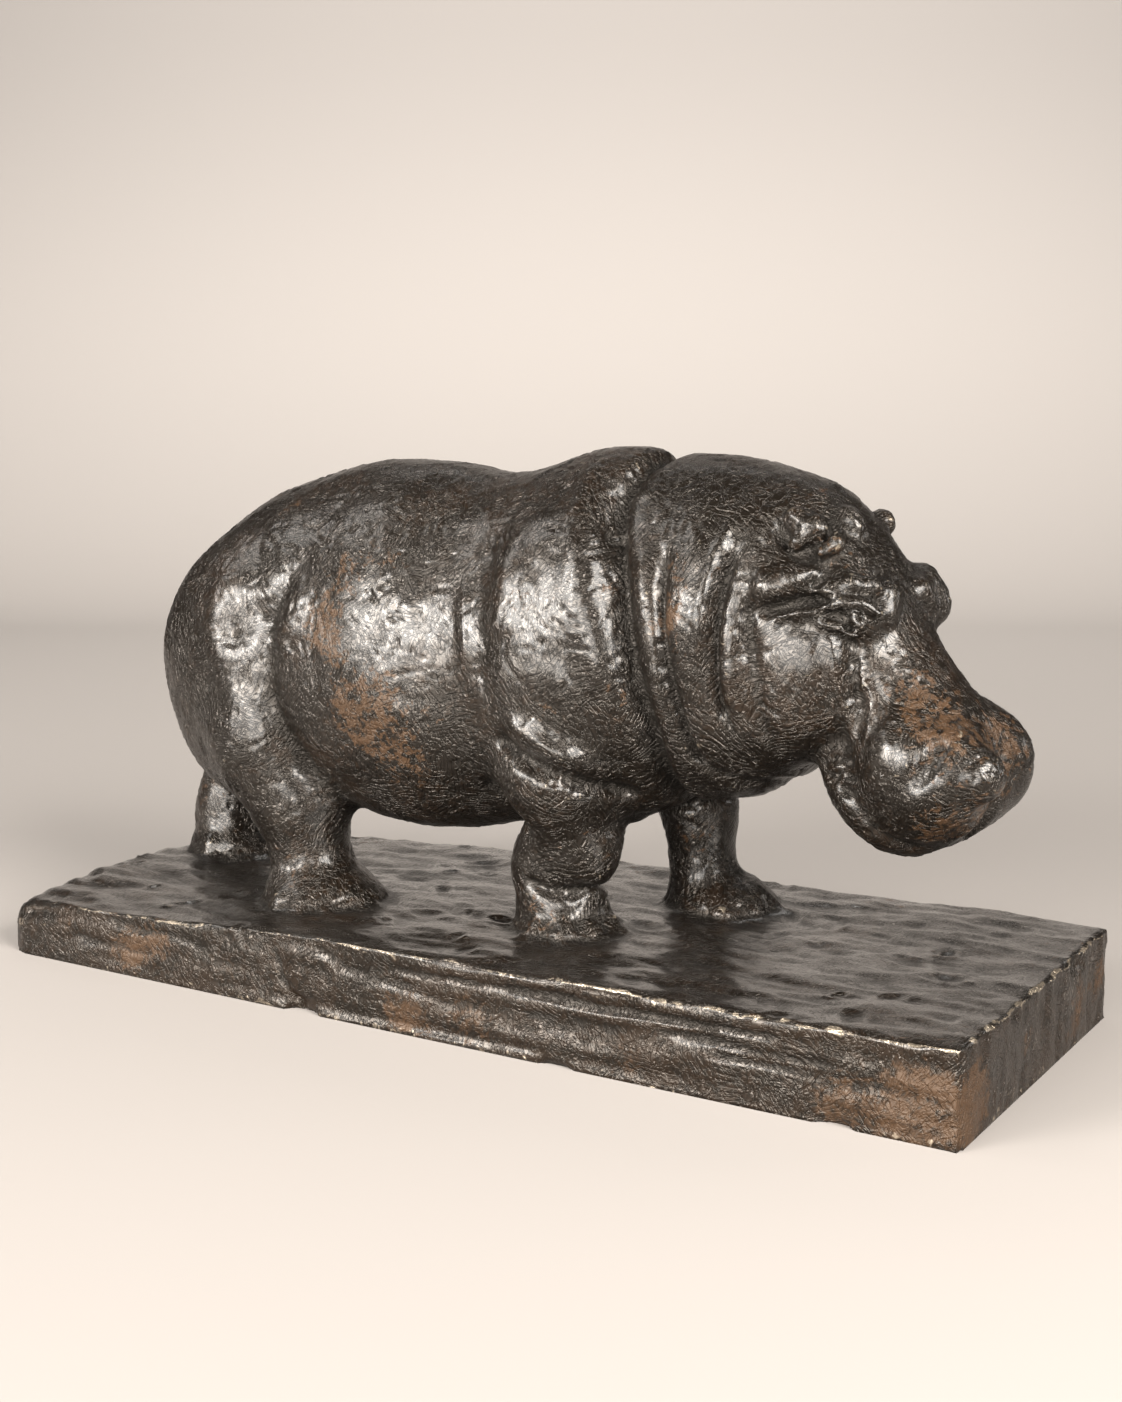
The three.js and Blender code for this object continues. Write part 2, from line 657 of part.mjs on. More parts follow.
// Whether a merge would fold a triangle over or squash it to a sliver.
function turnsOver(points, faces, around, a, b, at) {
  for (const v of [a, b]) {
    for (const f of around[v]) {
      if (faces[f].includes(a) && faces[f].includes(b)) continue;
      const before = new THREE.Triangle(...faces[f].map((w) => points[w]));
      const after = new THREE.Triangle(...faces[f].map((w) => (w === v ? at : points[w])));
      const normal = after.getNormal(new THREE.Vector3());
      if (normal.dot(before.getNormal(new THREE.Vector3())) < merging.leastTurn) return true;
      const { a: p, b: q, c: r } = after;
      const longest = Math.max(p.distanceTo(q), q.distanceTo(r), r.distanceTo(p));
      const sliver = after.getArea() < merging.thinnest * longest ** 2;
      if (sliver && after.getArea() < before.getArea()) return true;
    }
  }
  return false;
}

function toGeometry({ points, triangles }) {
  const geometry = new THREE.BufferGeometry();
  const coordinates = points.flatMap((p) => p.toArray());
  geometry.setAttribute('position', new THREE.Float32BufferAttribute(coordinates, 3));
  geometry.setIndex(triangles.flat());
  return geometry;
}

// Level the underside so that the plinth stands flat at z = 0.
async function cutFlat(geometry) {
  const wasm = await Module();
  wasm.setup();
  const solid = (shape) => {
    const bare = new THREE.BufferGeometry();
    bare.setAttribute('position', shape.getAttribute('position'));
    bare.setIndex(shape.getIndex());
    const merged = mergeVertices(bare, 1e-5);
    const mesh = new wasm.Mesh({
      numProp: 3,
      vertProperties: new Float32Array(merged.getAttribute('position').array),
      triVerts: new Uint32Array(merged.getIndex().array),
    });
    return new wasm.Manifold(mesh);
  };
  const [length, width, depth] = wasteSize;
  const waste = new THREE.BoxGeometry(length, width, depth).translate(0, 0, -depth / 2);
  const kept = solid(geometry).subtract(solid(waste)).getMesh();
  const cut = new THREE.BufferGeometry();
  cut.setAttribute('position', new THREE.BufferAttribute(new Float32Array(kept.vertProperties), 3));
  cut.setIndex(new THREE.BufferAttribute(new Uint32Array(kept.triVerts), 1));
  cut.computeVertexNormals();
  return cut;
}

const clay = makeClay();
shapeTrunk(clay);
for (const leg of Object.values(legs)) shapeLeg(clay, leg);
shapeHead(clay);
shapeTail(clay);
shapePlinth(clay);
knockChips(clay);
carve(clay);
settle(clay);
const casting = await cutFlat(toGeometry(simplify(skin(clay), wantedTriangles)));

const material = new THREE.MeshStandardMaterial(bronze);
material.name = 'bronze';
const sculpture = new THREE.Mesh(casting, material);
sculpture.name = 'hippopotamus_on_plinth';

const group = new THREE.Group();
group.name = 'bronze_hippopotamus';
group.add(sculpture);
export default group;
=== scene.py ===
import math
import random
import time

import bpy
import numpy as np
from mathutils import Euler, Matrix, Vector, kdtree, noise


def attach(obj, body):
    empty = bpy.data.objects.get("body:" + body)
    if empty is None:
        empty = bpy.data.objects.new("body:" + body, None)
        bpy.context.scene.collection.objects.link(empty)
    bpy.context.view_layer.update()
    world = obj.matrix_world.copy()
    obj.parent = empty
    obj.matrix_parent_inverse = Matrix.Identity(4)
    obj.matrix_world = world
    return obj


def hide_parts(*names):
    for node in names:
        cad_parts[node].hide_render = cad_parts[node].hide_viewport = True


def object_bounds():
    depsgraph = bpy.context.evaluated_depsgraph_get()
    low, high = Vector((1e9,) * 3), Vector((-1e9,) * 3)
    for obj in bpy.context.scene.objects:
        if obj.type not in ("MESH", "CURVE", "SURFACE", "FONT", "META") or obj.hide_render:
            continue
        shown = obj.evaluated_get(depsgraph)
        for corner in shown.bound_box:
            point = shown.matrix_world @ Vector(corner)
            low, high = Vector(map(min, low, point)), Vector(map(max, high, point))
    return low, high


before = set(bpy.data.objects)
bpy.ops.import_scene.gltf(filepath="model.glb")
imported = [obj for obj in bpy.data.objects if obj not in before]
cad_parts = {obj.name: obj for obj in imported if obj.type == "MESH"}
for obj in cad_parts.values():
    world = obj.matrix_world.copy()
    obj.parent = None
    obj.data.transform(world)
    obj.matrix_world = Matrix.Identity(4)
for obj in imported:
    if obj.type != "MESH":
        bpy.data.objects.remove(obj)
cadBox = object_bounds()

mm = 0.001
started = time.time()


def report(stage):
    print(f"{stage} ({time.time() - started:.0f} s)")


# The camera stands where the photographer stood.

camera = {
    "place": (525.58, -804.66, 295.49),
    "azimuth": 31.96,  # degrees round from straight in front of the right side
    "down": 8.566,  # degrees below level
    "lens": 47.9,
    "film": 36,
}


def makeCamera():
    data = bpy.data.cameras.new("camera")
    data.lens, data.sensor_width = camera["lens"], camera["film"]
    data.clip_start, data.clip_end = 0.05, 50
    eye = bpy.data.objects.new("camera", data)
    eye.location = Vector(camera["place"]) * mm
    eye.rotation_euler = (math.radians(90 - camera["down"]), 0, math.radians(camera["azimuth"]))
    bpy.context.scene.collection.objects.link(eye)
    bpy.context.scene.camera = eye


makeCamera()

# The form: rounded masses melted together on a grid, then creased.

grid = {"step": 1.5, "low": (-290, -112, -6.75), "high": (290, 112, 291), "reach": 36}

plinth = {
    "halfLength": 280.4,
    "halfWidth": 105.0,
    "top": 36,
    "slope": 0.03,
    "edgeRound": 3,
    "wornEdge": 18,  # top edge at the tail end
    "cornerRound": 3,
    "worn": 16,  # corner rounding at the tail end
    "wornFrom": -215,  # x where the tail end's wear begins, and the length it grows over
    "wornOver": 50,
    "footSoft": 8,
    # centre x, y, radius x, y and height of each low hill
    "hills": [(-40, 20, 170, 260, 8), (-270, -10, 70, 75, 8), (-225, 125, 80, 60, 4),
              (200, 125, 90, 60, 4), (-20, 125, 150, 60, 2)],
}

# centre, half sizes, nose-down tilt, softness of the join
trunk = {
    "belly": ((-50, 0, 164), (117, 74, 84), 0, 10),
    "back": ((-62, -1, 212), (109, 53, 64), 0, 30),
    "rump": ((-134, 0, 175), (83, 64, 76), 12, 25),
    "chest": ((50, 0, 184), (87, 66, 92), 0, 25),
    "withers": ((80, 0, 237), (63, 40, 43), 0, 22),
    "neck": ((124, -1, 194), (63, 62, 82), 0, 22),
    "poll": ((149, -3, 227), (48, 43, 43), 0, 18),
    "rightHaunch": ((-158, -35, 157), (52, 30, 68), -8, 18),
    "leftHaunch": ((-172, 38, 150), (52, 33, 68), 8, 18),
    "rightShoulder": ((50, -42, 182), (40, 30, 69), 6, 16),
    "leftShoulder": ((50, 44, 182), (42, 29, 72), 6, 16),
}

# stations are centre, radius and softness; swellings are centre, half sizes and softness
legs = {
    "rightHind": {
        "stations": [((-135, -42, 124), 33, 14), ((-119, -38, 93), 25, 10),
                     ((-114, -36, 62), 20, 8), ((-108, -36, 42), 25, 8)],
        "swellings": [((-103, -38, 42), (34, 29, 17), 8)],
        "toes": {"centre": (-106, -38, 40), "spread": 25, "turns": (-100, -72, -42, -5),
                 "size": (7, 6.5, 9)},
    },
    "leftHind": {
        "stations": [((-184, 38, 135), 36, 14), ((-227, 36, 102), 20, 10),
                     ((-235, 34, 64), 19, 8), ((-232, 34, 42), 23, 8)],
        "swellings": [((-229, 33, 39), (28, 24, 15), 8)],
        "toes": {"centre": (-234, 33, 42), "spread": 19, "turns": (-80, -45, -8, 30),
                 "size": (7.5, 6.5, 8.5)},
    },
    "rightFore": {
        "stations": [((50, -42, 126), 30, 10), ((51, -30, 96), 22, 8),
                     ((38, -27, 76), 22, 6), ((42, -27, 50), 24, 6)],
        "swellings": [((57, -33, 85), (19, 18, 20), 7), ((46, -28, 42), (26, 26, 12), 5)],
        "toes": {"centre": (45, -28, 42), "spread": 21.5, "turns": (-100, -62, -28, 10),
                 "size": (6, 6, 9.5)},
    },
    "leftFore": {
        "stations": [((72, 46, 125), 28, 12), ((80, 48, 92), 18.5, 8), ((82, 48, 55), 18, 8)],
        "swellings": [((92, 50, 46), (28, 25, 16), 8)],
        "toes": {"centre": (92, 50, 42), "spread": 22, "turns": (-60, -25, 10, 45), "size": (8, 7, 9)},
    },
}

# places knocked out of the plinth's edges: centre and half sizes
chips = [((-66, -107, 0), (10, 6, 7)), ((86, -106, -1), (9, 4, 4)), ((225, -106, -1), (7, 5, 5)),
         ((283, -40, 40), (5, 9, 4)), ((283, 52, 40), (5, 12, 5)), ((-283, 30, 20), (5, 16, 8))]

# the head's own directions are forward, left and up
head = {
    "at": (165, -2, 202),
    "yaw": -9,
    "pitch": 49,
    # centre, half sizes, softness
    "masses": {
        "cranium": ((-5, -1, 11), (52, 45, 41), 14),
        "rightCheek": ((14, -20, -14), (44, 33, 44), 14),
        "leftCheek": ((14, 20, -14), (44, 33, 44), 14),
        "noseBridge": ((46, 0, 16), (48, 31, 28), 14),
        "muzzle": ((91, 1, 8), (34, 43, 36), 16),
        "rightLobe": ((98, -21, 18), (23, 22, 27), 6),
        "leftLobe": ((96, 20, 17), (26, 21, 28), 6),
        "chin": ((82, -1, -17), (36, 34, 20), 8),
        "rightBrow": ((15, -29, 37), (16, 8, 9), 7),
        "leftBrow": ((18, 27, 42), (16, 9, 10), 7),
        "crownKnob": ((-19, -12, 53), (8.5, 6.5, 5), 4),
        "nostrilLobe": ((109, -21, 36), (13, 13, 12.5), 4),
        "lipSide": ((80, -28, 14), (16, 15, 17), 8),
    },
    # places on one side, mirrored to the other: forward, outward, up, radius
    "earLobes": [(-30, 33.5, 41, 5.8), (-22, 32, 43.5, 8), (-20, 38, 37, 4.6), (-25, 32, 40, 7)],
    "earFlatness": 0.9,
    "earSoft": 1.2,
    "earHollow": ((-23, -39, 45), (15, 6.5, 14)),  # round the right ear only
    "eyeSocket": [((18, 42.5, 33), 4.6), ((24, 39.5, 38.5), 7.4), ((31, 36, 42.5), 6)],
    "eye": ((24.5, 32.5, 37), (5.4, 3.4, 4)),
    "nostril": ((97, 7, 46), (4.5, 2.4, 3)),
    # rolls of skin: places with a radius, and the softness they melt in with
    "rolls": {
        "behindEye": ([((-13, 50, 9), 5), ((-10.5, 47, 19), 7.5), ((-7, 44, 27), 6.5),
                       ((-4, 39, 36), 3)], 5),
        "underEye": ([((3, 50, 16), 2), ((7, 47, 23), 2.6), ((11, 43.5, 29), 2)], 4),
        "brow": ([((4, 41, 30), 2), ((7, 38.5, 38), 3), ((10, 33, 45.5), 4), ((15, 25, 48.5), 4.2)], 4),
        "browKnob": ([((19, 15, 46), 7), ((27, 19, 43), 5)], 4),
        "upperLid": ([((12, 41.5, 31), 1.8), ((14.5, 39.5, 38.5), 2.5), ((20, 35, 44.5), 2.6),
                      ((28, 30, 46.5), 2)], 1.5),
        "lowerLid": ([((18, 41, 28), 1.4), ((24, 38.5, 31), 1.7), ((30, 36, 34), 1.5)], 2),
        "earFlap": ([((-13, 27, 52), 2.6), ((-9.5, 30.5, 49), 3.8), ((-9.5, 35, 43), 3.2)], 1.5),
    },
    "farSide": 0.86,  # the left eye and ear lie this much closer in
}

tail = [((-212, 0, 206), (-225, -2, 160), 6, 5, 5), ((-225, -2, 160), (-221, -3, 140), 5, 6.5, 4)]

# path of x and z, width, depth (less than 0 is a crest), fading at both ends
bodyCreases = {
    "collar": ([(98, 300), (84, 268), (82, 252), (86, 237), (93, 214), (99, 185), (105, 152), (104, 118),
                (101, 100)], 5.5, 7, 0, 0.1),
    "collarEdge": ([(58, 285), (64, 262), (68, 247), (77, 213), (84, 190), (88, 166), (90, 135)],
                   9, -3, 0.1, 0.3),
    "neckRoll": ([(100, 244), (104, 222), (109, 198), (113, 172), (116, 140)], 5, -1.6, 0.2, 0.3),
    "secondFold": ([(112, 243), (114, 225), (116, 208), (120, 180), (125, 150), (130, 134)],
                   3, 4.6, 0.25, 0.15),
    "foldCrest": ([(134, 254), (131, 232), (129, 208), (128, 172)], 9, -2.4, 0.3, 0.3),
    "sharpCrest": ([(146, 256), (141, 241), (138, 226), (136, 205), (134, 178)], 2.6, -2.4, 0.2, 0.3),
    "fourthFold": ([(151, 247), (146, 230), (142.5, 207), (142.5, 185), (144, 167), (151, 148)],
                   2.8, 4.8, 0.25, 0.2),
    "lastCrest": ([(150, 232), (150, 197), (149, 167)], 5, -1.5, 0.3, 0.3),
    "jowlFold": ([(155, 226), (157, 205), (157, 185)], 3, 2.4, 0.3, 0.3),
    "shoulderBack": ([(16, 245), (19, 229), (21, 210), (24, 177), (30, 150)], 6, 1.2, 0.3, 0.2),
    "shoulderCrest": ([(30, 240), (32, 215), (34, 185)], 8, -2.2, 0.4, 0.4),
    "flankRidge": ([(4, 222), (10, 195), (14, 161)], 4, -1.6, 0.3, 0.3),
    "elbow": ([(26, 148), (38, 139), (62, 129), (80, 120), (92, 114)], 4, 4.5, 0.2, 0.2),
    "elbowCrest": ([(30, 158), (50, 147), (65, 140), (84, 130)], 5, -3, 0.25, 0.25),
    "armpit": ([(8, 118), (18, 110), (36, 96)], 4, 3.5, 0.2, 0),
    "flank": ([(-88, 238), (-98, 219), (-113, 193), (-114, 155), (-104, 125), (-92, 103)],
              6.5, 3.4, 0.4, 0.15),
    "haunchCrest": ([(-130, 230), (-146, 215), (-150, 190), (-137, 155), (-116, 125)], 12, -3, 0.3, 0.3),
    "haunchDip": ([(-112, 199), (-128, 191), (-150, 178)], 9, 2.6, 0.3, 0.3),
    "flankCrest": ([(-96, 222), (-98, 203), (-101, 182)], 7, -1.6, 0.3, 0.3),
    "dewlap": ([(66, 96), (90, 103), (148, 121), (160, 127)], 3.2, 2.4, 0.2, 0.2),
    "jaw": ([(124, 145), (134, 134), (150, 127), (164, 126)], 3.2, 2.6, 0.2, 0.2),
}
kneeCrease = ([(30, 72), (44, 67), (56, 66), (68, 70)], 3.2, 3.4, 0.2, 0.2)

# path of forward and up on the side of the head
headCreases = {
    "behindEye": ([(-5, 7), (0, 17), (4, 26), (8, 33)], 2.4, 3.8, 0.2, 0.15),
    "cheekCrest": ([(10, 29), (19, 26), (27, 24), (40, 16), (50, 9), (62, 1), (70, -1)], 3, -2, 0.15, 0.3),
    "cheekHollow": ([(26, 28), (35, 24), (46, 16), (57, 9)], 3.2, 3, 0.2, 0.3),
    "narrowRidge": ([(38, 27), (46, 22), (54, 20), (62, 14), (68, 8), (74, 0)], 2.6, -1.2, 0.3, 0.3),
    "lobeValley": ([(88, 39), (93, 34), (97, 25), (100, 10)], 4.5, 4, 0.3, 0.3),
    "lipHollow": ([(66, 26), (67, 12), (72, 4), (78, 0)], 3, 2.4, 0.3, 0.3),
    "jowlBack": ([(2, 6), (10, -6), (28, -18), (47, -34)], 4, 2.4, 0.3, 0.2),
    "cornerOne": ([(61, -24), (65, -13), (74, -5)], 1.7, 1.5, 0.2, 0.2),
    "cornerTwo": ([(66, -27), (73, -14), (81, -6)], 1.7, 1.5, 0.2, 0.2),
    "cornerThree": ([(72, -28), (79, -17), (87, -10)], 1.7, 1.4, 0.2, 0.2),
    "mouth": ([(60, -24), (72, -19), (86, -15), (104, -15), (120, -9)], 2.6, 2.2, 0.2, 0.1),
    "eyeBag": ([(17, 24), (25, 27), (33, 29)], 2, 1.6, 0.25, 0.25),
}
noseGroove = {
    "path": [(84, 48), (97, 45), (110, 40), (120, 28), (126, 10), (122, -6)],
    "width": 4,
    "depth": 3.6,
    "along": 9,
    "fading": (0.25, 0.2),
}
# the sheet that the head's creases are drawn on: spacing, first place and points both ways
creaseSheet = {"spacing": 0.75, "first": -90, "across": 320, "up": 240}
creaseClear = {"from": 6, "over": 6}  # they fade out before the head's middle line
headBox = ((-75, -75, -120), (130, 75, 95))  # measured from the head's own place

# path of x and z on the plinth's front
frontCreases = {
    "ledge": ([(-24, 30), (21, 32.5), (67, 33), (108, 32), (130, 33), (182, 34), (214, 34)],
              2, 2, 0.15, 0.2),
    "ledgeLip": ([(-20, 36), (26, 38), (70, 38), (130, 37.5), (205, 37.5)], 2.2, -0.8, 0.2, 0.2),
    "dragOne": ([(112, 25), (155, 27), (200, 25.5), (240, 28)], 1.8, 1.6, 0.3, 0.2),
    "dragTwo": ([(150, 19), (190, 21), (225, 19)], 2, 1.4, 0.3, 0.3),
    "dragThree": ([(52, 21), (95, 24), (140, 22)], 2.4, 1.2, 0.3, 0.3),
    "seam": ([(-83, 34), (-80, 24), (-76, 13), (-68, 4)], 2.2, 1.8, 0.15, 0),
    "slabEdge": ([(-60, 37), (-30, 27), (0, 24), (26, 20)], 2.4, 1.5, 0.1, 0.4),
    "tailSeam": ([(-210, 31), (-180, 26), (-150, 27), (-120, 20)], 2.2, 1.4, 0.2, 0.3),
    "tailDrag": ([(-240, 20), (-205, 15), (-165, 14)], 2.4, 1.4, 0.3, 0.3),
    "foot": ([(-110, 7), (-40, 6), (40, 5.5), (120, 7), (200, 8)], 2.4, 1.2, 0.2, 0.2),
}

step = grid["step"]
low = np.array(grid["low"], np.float32)
count = np.ceil((np.array(grid["high"]) - low) / step).astype(int) + 1
clay = np.full(count, grid["reach"], np.float32)


def turned(yaw, pitch):
    return np.array(Euler((0, math.radians(pitch), math.radians(yaw))).to_matrix(), np.float32)


headTurn = turned(head["yaw"], head["pitch"])


def onHead(p):
    return headTurn @ np.array(p, np.float32) + np.array(head["at"], np.float32)


def softMin(a, b, k):
    h = np.maximum(k - np.abs(a - b), 0) / k
    return np.minimum(a, b) - h * h * (k * 0.25)


def softMax(a, b, k):
    return -softMin(-a, -b, k)


# melt a shape into the clay, or cut it out
def melt(window, d, soft, cut):
    if cut:
        clay[window] = softMax(clay[window], -d, soft)
    else:
        clay[window] = softMin(clay[window], np.minimum(d, grid["reach"]), soft)


# the part of the grid inside a box, and the coordinates of its points
def patch(lowest, highest):
    first = np.clip(np.floor((np.array(lowest) - low) / step), 0, count - 1).astype(int)
    last = np.clip(np.ceil((np.array(highest) - low) / step), 0, count - 1).astype(int) + 1
    window = tuple(slice(a, b) for a, b in zip(first, last))
    xyz = [low[n] + step * np.arange(first[n], last[n], dtype=np.float32) for n in range(3)]
    return window, xyz[0][:, None, None], xyz[1][None, :, None], xyz[2][None, None, :]


def local(x, y, z, at, turn):
    x, y, z = x - np.float32(at[0]), y - np.float32(at[1]), z - np.float32(at[2])
    return [turn[0, n] * x + turn[1, n] * y + turn[2, n] * z for n in range(3)]


# add or cut an ellipsoid
def lump(at, size, turn, soft, cut=False):
    span = max(size) + grid["reach"]
    window, x, y, z = patch(np.array(at) - span, np.array(at) + span)
    p = local(x, y, z, at, turn)
    a = np.sqrt(sum((p[n] / size[n]) ** 2 for n in range(3)))
    b = np.sqrt(sum((p[n] / size[n] ** 2) ** 2 for n in range(3))) + 1e-6
    d = a * (a - 1) / b
    melt(window, d, soft, cut)


# add or cut a tapered limb with round ends
def limb(start, end, startRadius, endRadius, soft, cut=False):
    start, end = np.array(start, np.float32), np.array(end, np.float32)
    span = max(startRadius, endRadius) + grid["reach"]
    window, x, y, z = patch(np.minimum(start, end) - span, np.maximum(start, end) + span)
    axis = end - start
    lengthSq = float(axis @ axis)
    taper = startRadius - endRadius
    slant = lengthSq - taper * taper
    x, y, z = x - start[0], y - start[1], z - start[2]
    along = x * axis[0] + y * axis[1] + z * axis[2]
    beyond = along - lengthSq
    side = sum((c * lengthSq - axis[n] * along) ** 2 for n, c in enumerate((x, y, z)))
    alongSq, beyondSq = along * along * lengthSq, beyond * beyond * lengthSq
    k = np.sign(taper) * taper * taper * side
    d = (np.sqrt(side * slant / lengthSq) + along * taper) / lengthSq - startRadius
    d = np.where(np.sign(along) * slant * alongSq < k, np.sqrt(side + alongSq) / lengthSq - startRadius, d)
    d = np.where(np.sign(beyond) * slant * beyondSq > k, np.sqrt(side + beyondSq) / lengthSq - endRadius, d)
    melt(window, d, soft, cut)


# smooth path through a few points, evenly dense
def smoothPath(points, perSpan=6):
    p = [np.array(q, float) for q in points]
    p = [2 * p[0] - p[1]] + p + [2 * p[-1] - p[-2]]
    path = []
    for a, b, c, d in zip(p, p[1:], p[2:], p[3:]):
        for t in np.arange(perSpan) / perSpan:
            bend, twist = 2 * a - 5 * b + 4 * c - d, 3 * b - a - 3 * c + d
            path.append(0.5 * (2 * b + (c - a) * t + bend * t**2 + twist * t**3))
    return np.array(path + [p[-2]], np.float32)


# distance from each point (a, b) to the path, and the share of the path where the nearest place lies
def nearest(path, a, b):
    best = np.full(np.broadcast(a, b).shape, 1e9, np.float32)
    share = np.zeros_like(best)
    for n in range(len(path) - 1):
        dx, dy = path[n + 1] - path[n]
        t = np.clip(((a - path[n][0]) * dx + (b - path[n][1]) * dy) / (dx * dx + dy * dy + 1e-9), 0, 1)
        d = np.hypot(a - path[n][0] - t * dx, b - path[n][1] - t * dy)
        closer = d < best
        best = np.where(closer, d, best)
        share = np.where(closer, (n + t) / (len(path) - 1), share)
    return best, share


def fade(share, start, end):
    a = np.minimum(1, share / start) if start > 0 else 1
    b = np.minimum(1, (1 - share) / end) if end > 0 else 1
    f = a * b
    return f * f * (3 - 2 * f)


def creaseDepth(crease, a, b):
    points, width, depth, start, end = crease
    d, share = nearest(smoothPath(points), a, b)
    return depth * np.exp(-((d / width) ** 2)) * fade(share, start, end)


def creaseBody(crease, between=(-120, 120)):
    points, margin = np.array(crease[0]), 2.6 * crease[1]
    (x0, z0), (x1, z1) = points.min(0) - margin, points.max(0) + margin
    window, x, y, z = patch((x0, between[0], z0), (x1, between[1], z1))
    clay[window] += creaseDepth(crease, x, z)


# creases of the head are drawn once on a sheet of forward and up, then looked up
def creaseHead(creases, nose):
    window, x, y, z = patch(*(np.array(head["at"]) + corner for corner in headBox))
    u, v, w = local(x, y, z, head["at"], headTurn)
    fine, first, across, up = creaseSheet.values()
    sheetU, sheetW = first + fine * np.arange(across)[:, None], first + fine * np.arange(up)[None, :]
    sheet = sum(creaseDepth(c, sheetU, sheetW) for c in creases.values()).astype(np.float32)
    d, share = nearest(smoothPath(nose["path"]), sheetU, sheetW)
    middle = nose["depth"] * np.exp(-((d / nose["along"]) ** 2)) * fade(share, *nose["fading"])
    middle = middle.astype(np.float32)
    a = np.clip((u - first) / fine, 0, across - 1).astype(np.int16)
    b = np.clip((w - first) / fine, 0, up - 1).astype(np.int16)
    clay[window] += sheet[a, b] * np.clip((np.abs(v) - creaseClear["from"]) / creaseClear["over"], 0, 1)
    clay[window] += middle[a, b] * np.exp(-((v / nose["width"]) ** 2))


def shapeTrunk():
    for at, size, tilt, soft in trunk.values():
        lump(at, size, turned(0, tilt), soft)


def shapeLeg(leg):
    stations, toes = leg["stations"], leg["toes"]
    for (start, startRadius, soft), (end, endRadius, _) in zip(stations, stations[1:]):
        limb(start, end, startRadius, endRadius, soft)
    for at, size, soft in leg["swellings"]:
        lump(at, size, turned(0, 0), soft)
    for turn in toes["turns"]:
        a = math.radians(turn)
        x, y, z = toes["centre"]
        at = (x + toes["spread"] * math.cos(a), y + toes["spread"] * math.sin(a), z)
        lump(at, toes["size"], turned(turn, 18), 3)


def rollOnHead(places, side, soft, cut=False):
    spots = [(onHead((u, side * out, w)), r) for (u, out, w), r in places]
    for (a, startRadius), (b, endRadius) in zip(spots, spots[1:]):
        limb(a, b, startRadius, endRadius, soft, cut)


def shapeHead():
    for at, size, soft in head["masses"].values():
        lump(onHead(at), size, headTurn, soft)
    for side in (-1, 1):
        out = side * (1 if side < 0 else head["farSide"])
        if side < 0:
            lump(onHead(head["earHollow"][0]), head["earHollow"][1], headTurn, 5, cut=True)
        lobes = head["earLobes"] if side < 0 else head["earLobes"][1:2]  # the left ear is one dome
        for u, v, w, r in lobes:
            lump(onHead((u, out * v, w)), (r, r * head["earFlatness"], r), headTurn, head["earSoft"])
        rollOnHead(head["eyeSocket"], side, 2, cut=True)
        (u, v, w), size = head["eye"]
        lump(onHead((u, side * v, w)), size, headTurn, 1)
        for name, (places, soft) in head["rolls"].items():
            if side < 0 or name != "earFlap":
                rollOnHead(places, out, soft)
        (u, v, w), size = head["nostril"]
        lump(onHead((u, side * v, w)), size, headTurn, 2, cut=True)


# height of the modelled ground
def groundAt(x, y):
    top = plinth["top"] + plinth["slope"] * x
    for hx, hy, rx, ry, h in plinth["hills"]:
        top = top + h * np.exp(-(((x - hx) / rx) ** 2) - ((y - hy) / ry) ** 2)
    return top


def shapePlinth():
    window, x, y, z = patch((-295, -116, -20), (295, 116, 100))
    corner = np.where(x < 0, plinth["worn"], plinth["cornerRound"]).astype(np.float32)
    a, b = np.abs(x) - (plinth["halfLength"] - corner), np.abs(y) - (plinth["halfWidth"] - corner)
    plan = np.hypot(np.maximum(a, 0), np.maximum(b, 0)) + np.minimum(np.maximum(a, b), 0) - corner
    tailEnd = np.clip((plinth["wornFrom"] - x) / plinth["wornOver"], 0, 1)
    wear = plinth["wornEdge"] - plinth["edgeRound"]
    edge = plinth["edgeRound"] + wear * tailEnd * tailEnd * (3 - 2 * tailEnd)
    block = softMax(plan, z - groundAt(x, y).astype(np.float32), edge.astype(np.float32))
    melt(window, block, plinth["footSoft"], False)
    heights = low[2] + step * np.arange(count[2], dtype=np.float32)
    clay[:] = np.maximum(clay, -heights[None, None, :])  # flat underside


